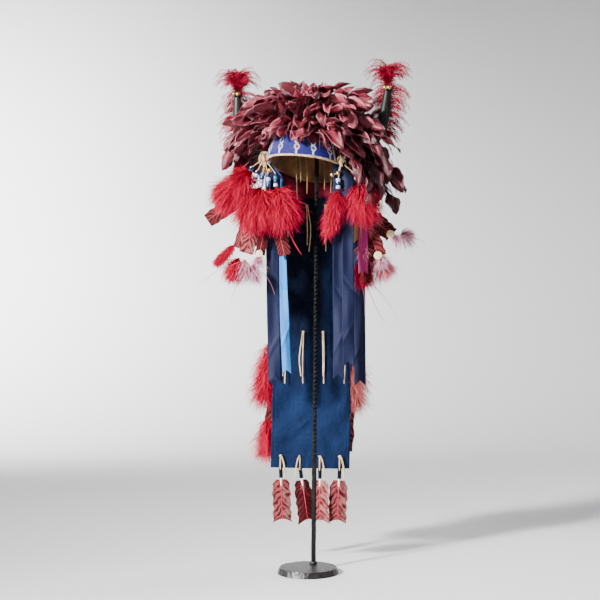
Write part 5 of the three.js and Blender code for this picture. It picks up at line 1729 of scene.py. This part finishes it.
PENDANTS = [(2, 4), (8, 28), (1, -24), (-3, 6)]
WRAP_R, WRAP_LONG, VANE_LONG, VANE_WIDE = 0.0046, 0.023, 0.101, 0.042
NAVY_WRAP = material("navy_wrap", (0.0018, 0.0022, 0.009), 0.85, Specular_IOR_Level=0.1)
bump(NAVY_WRAP, noise(NAVY_WRAP, 400, 2), 0.5, 0.0006)
PENDANT_SHAPE = np.array([0.62, 0.86, 0.94, 0.98, 1.0, 0.99, 0.98, 0.97, 0.97, 0.98, 1.0, 1.02, 1.05])
for column, (lean, turn_by) in enumerate(PENDANTS):
    top = tie_at(column, -0.001, CLOTH_BACK + GAP + WRAP_R + 0.001)
    drop = np.array([math.sin(math.radians(lean)), 0, -math.cos(math.radians(lean))])
    front_y = CLOTH_FRONT - 0.0014 - GAP
    line = np.stack(
        [
            tie_at(column, TIE_RISE, CLOTH_BACK + 0.005),
            tie_at(column, TIE_RISE, CLOTH_FRONT - 0.001),
            tie_at(column, TIE_RISE - 0.005, front_y - 0.0015),
            tie_at(column, 0.003, front_y - 0.0005),
            tie_at(column, -0.003, front_y + 0.0015),
            top + np.array([0, 0, -0.002]),
        ]
    )
    hang_cord(f"thong_of_pendant_{column + 1}", line, 0.0015, f"pendant_thong_{column + 1}", 60)
    # the free end of the thong bends down before the feather
    bend = [1, -1, 1, 1][column]
    hole = tie_at(column, TIE_RISE, front_y - 0.002)
    steps = (
        (-0.002, 0.001, 0.0),
        (0.001 * bend, 0.003, 0.002),
        (0.005 * bend, -0.005, 0.001),
        (0.0085 * bend, -0.02, 0),
        (0.011 * bend, -0.046, 0.001),
    )
    end_line = np.stack([hole + HEM_SIDE * a - HEM_BACK * c + np.array([0, 0, b]) for a, b, c in steps])
    hang_cord(f"end_of_thong_{column + 1}", end_line, [0.0019, 0.0014, 0.0017, 0.0022][column])
    a = math.radians(turn_by)
    across = HEM_SIDE * math.cos(a) + np.cross(UP, HEM_SIDE) * math.sin(a)
    bundle = Bundle()
    rows = len(PENDANT_SHAPE)
    s = np.linspace(0, 1, rows)[:, None]
    spine = top + drop * (WRAP_LONG + 0.004 + s * VANE_LONG)
    bow = np.cross(across, [0, 0, 1.0])
    spine = spine + bow * 0.004 * np.sin(s * 2.6)
    tone = [0.6, 0.0, 0.75, 0.55][column]
    one_vane(bundle, spine, across, VANE_WIDE, tone, PENDANT_SHAPE, 0.22, 0.06)
    # the cut end: the middle of the last rows rises
    last = bundle.verts[-1].reshape(rows, 7, 3)
    u = np.abs(np.linspace(-1, 1, 7))
    last[-3:, :, 2] += (VANE_WIDE * 0.26 * (1 - u**1.6))[None] * np.array([[0.25], [0.6], [1.0]])
    shaft = top + drop * np.linspace(WRAP_LONG - 0.002, WRAP_LONG + VANE_LONG * 0.98, 16)[:, None]
    lift = np.interp(np.linspace(0, 1, 16), np.linspace(0, 1, rows), 0.004 * np.sin(s[:, 0] * 2.6))
    shaft = shaft + bow * lift[:, None]
    radii = np.interp(np.linspace(0, 1, 16), [0, 0.12, 0.2, 1], [0.0026, 0.0024, 0.0014, 0.0007])
    bundle.tubes(shaft[None, :4], radii[:4], [0.5], 10, 2)
    bundle.tubes(shaft[None, 3:], radii[3:], [0.5], 8, 1)
    wrap_line = top + drop * np.linspace(0, WRAP_LONG, 14)[:, None]
    bundle.tubes(wrap_line[None], WRAP_R * (0.94 + 0.06 * np.sin(np.arange(14) * 2.0)), [0.5], 14, 3)
    vane_root = top + drop * np.linspace(WRAP_LONG + 0.004, WRAP_LONG + 0.02, 4)[:, None]
    barbs_on(bundle, vane_root[None], 60, 0.009, 0.0006, np.array([0.4]), slot=4, droop=0.5)
    mat = BARRED_RED if column == 1 else BARRED_PINK
    pendant = bundle.piece(
        f"pendant_of_cut_feather_{column + 1}", [mat, QUILL_RED, QUILL_WHITE, NAVY_WRAP, DOWN_PINK]
    )
    finish_piece(pendant, "barred_red", f"pendant_feather_{column + 1}")

LONG_FEATHER = 0.262
ROWS_ON_BACK = [
    ("trailer_feathers_upper", (RIM - HEM) * 0.837), ("trailer_feathers_lower", (RIM - HEM) * 0.44)
]


def behind_cloth(places):
    """Moves places that lie inside or before the cloth to its back."""
    middle = NAPE + np.array([-0.017, 0.002, 0])
    share = (places - middle) @ HEM_SIDE / TRAILER_WIDE
    wall = trailer_point(np.clip(share, -0.5, 0.5), places[..., 2], CLOTH_BACK + 0.004)
    short = np.maximum(0, -((places - wall) @ HEM_BACK)) * (np.abs(share) < 0.52)
    return places + HEM_BACK * short[..., None]


# shares of a long feather where down sits: at the outer edges and in the middle
TUFT_PLACES = {-1: (0.12, 0.22, 0.32, 0.42, 0.8, 0.92), 0: (0.08, 0.34), 1: (0.24, 0.35, 0.46)}
LONG_VANE = np.array([0.2, 0.55, 0.8, 0.93, 1.0, 1.02, 1.03, 1.03, 1.02, 1.0, 0.98, 0.95, 0.9, 0.84, 0.7])
for name, rise in ROWS_ON_BACK:
    bundle = Bundle()
    seat = CLOTH_BACK + 2 * GAP
    sh = np.linspace(-0.47, 0.47, 30)
    tape = np.stack([trailer_point(sh, HEM + rise + dz, seat + 0.0015) for dz in (-0.005, 0.005)], 1)
    bundle.grids(tape.transpose(1, 0, 2)[None], 0.5, 0.5, [0.5], 3)
    for column in range(4):
        low_row = name == "trailer_feathers_lower"
        lean = (column - 1.5) * 0.005 + low_row * {0: -0.016, 3: 0.004}.get(column, 0)
        lift = 0.007 + 0.002 * (column % 2)
        s = np.linspace(0, 1, len(LONG_VANE))
        offs = np.interp(s, [0, 0.1, 1], [0.0015, lift, lift])
        spine = np.stack([tie_at(column, rise - x * LONG_FEATHER, seat + o) for x, o in zip(s, offs)])
        spine = spine + np.outer(s, [lean, 0, 0])
        middle = HEM + rise - LONG_FEATHER / 2
        ends = [trailer_point(column_share(column) + d, middle, 0) for d in (-0.05, 0.05)]
        one_vane(bundle, spine, unit(ends[1] - ends[0]), 0.046, 0.25 + 0.12 * column, LONG_VANE, 0.1, 0.06)
        bundle.tubes((spine + HEM_BACK * 0.001)[None], np.linspace(0.0014, 0.0005, len(spine)), [0.5], 6, 1)
        outer = {0: -1, 3: 1}.get(column, 0) * low_row
        for place in TUFT_PLACES[outer]:
            aside = np.array([(column - 1.5) * 0.005 * (1 + place * 2), 0, 0])
            centre = tie_at(column, rise - place * LONG_FEATHER, seat + 0.0095) + aside
            fan = np.linspace(0.2, 1, 6)[:, None]
            upright = np.linspace(0.028, -0.026, 6)[:, None] * UP
            shafts = centre + np.stack([upright + HEM_SIDE * d * fan for d in (-0.011, 0, 0.011)])
            reach = {-1: 0.014 + 0.04 * place * (place < 0.6), 1: 0.012, 0: 0}[outer]
            shafts = shafts + HEM_SIDE * outer * reach + np.array([0, 0, CHANCE.uniform(-0.006, 0.006)])
            length = (0.04 if place < 0.6 else 0.034) if outer else 0.021
            per_shaft, tones = 280 if outer else 150, CHANCE.uniform(0, 0.6, 3)
            slot = 4 if outer > 0 else 2
            barbs_on(
                bundle, shafts, per_shaft, length, 0.0009, tones, droop=0.3, slot=slot, keep=behind_cloth
            )
    mats = [BARRED_LONG, QUILL_RED, DOWN_RED, PALE_HIDE, DOWN_SALMON]
    finish_piece(bundle.piece("row_of_" + name, mats), "barred_red", name)

tie_x = CAP_X - 0.034
tie_y = CAP_Y + 0.029
inner = np.array(
    [
        [tie_x, CAP_Y + HALF_DEEP * 0.3, CROWN_Z - 0.045],
        [tie_x + 0.002, tie_y, RIM + 0.04],
        [tie_x + 0.004, tie_y, RIM],
        [tie_x + 0.006, tie_y, RIM - 0.07],
    ]
)
# painted shade: the tie and thongs inside the cap get a darker hide colour for the shade inside the cap; the
# mottling is the hide's own
SHADED_HIDE = material("hide_with_painted_shade", (0.16, 0.08, 0.025), 0.85, Sheen_Weight=0.15)
stain = noise(SHADED_HIDE, 120, 3)
colour_into(SHADED_HIDE, ramp(SHADED_HIDE, stain, [(0.3, (0.09, 0.045, 0.014)), (0.7, (0.26, 0.15, 0.055))]))
bump(SHADED_HIDE, stain, 0.4, 0.0006)
hang_cord("tie_inside_the_cap", inner, 0.0016, "cap_tie", mat=SHADED_HIDE)
INNER_THONGS = [(-19, -30, 918, 862), (-5, -34, 930, 836), (34, -34, 922, 846), (48, -30, 914, 838)]
for order, (side, back, high, low) in enumerate(INNER_THONGS):
    ends = [seen(side / 1000, back / 1000, high / 1000), seen((side + 3) / 1000, back / 1000, low / 1000)]
    line = np.stack([ends[0], (ends[0] + ends[1]) / 2 + VIEW_SIDE * 0.002, ends[1]])
    hang_cord(f"thong_inside_the_cap_{order + 1}", line, 0.0011, mat=SHADED_HIDE)
print("pendants, ties and back feathers made")
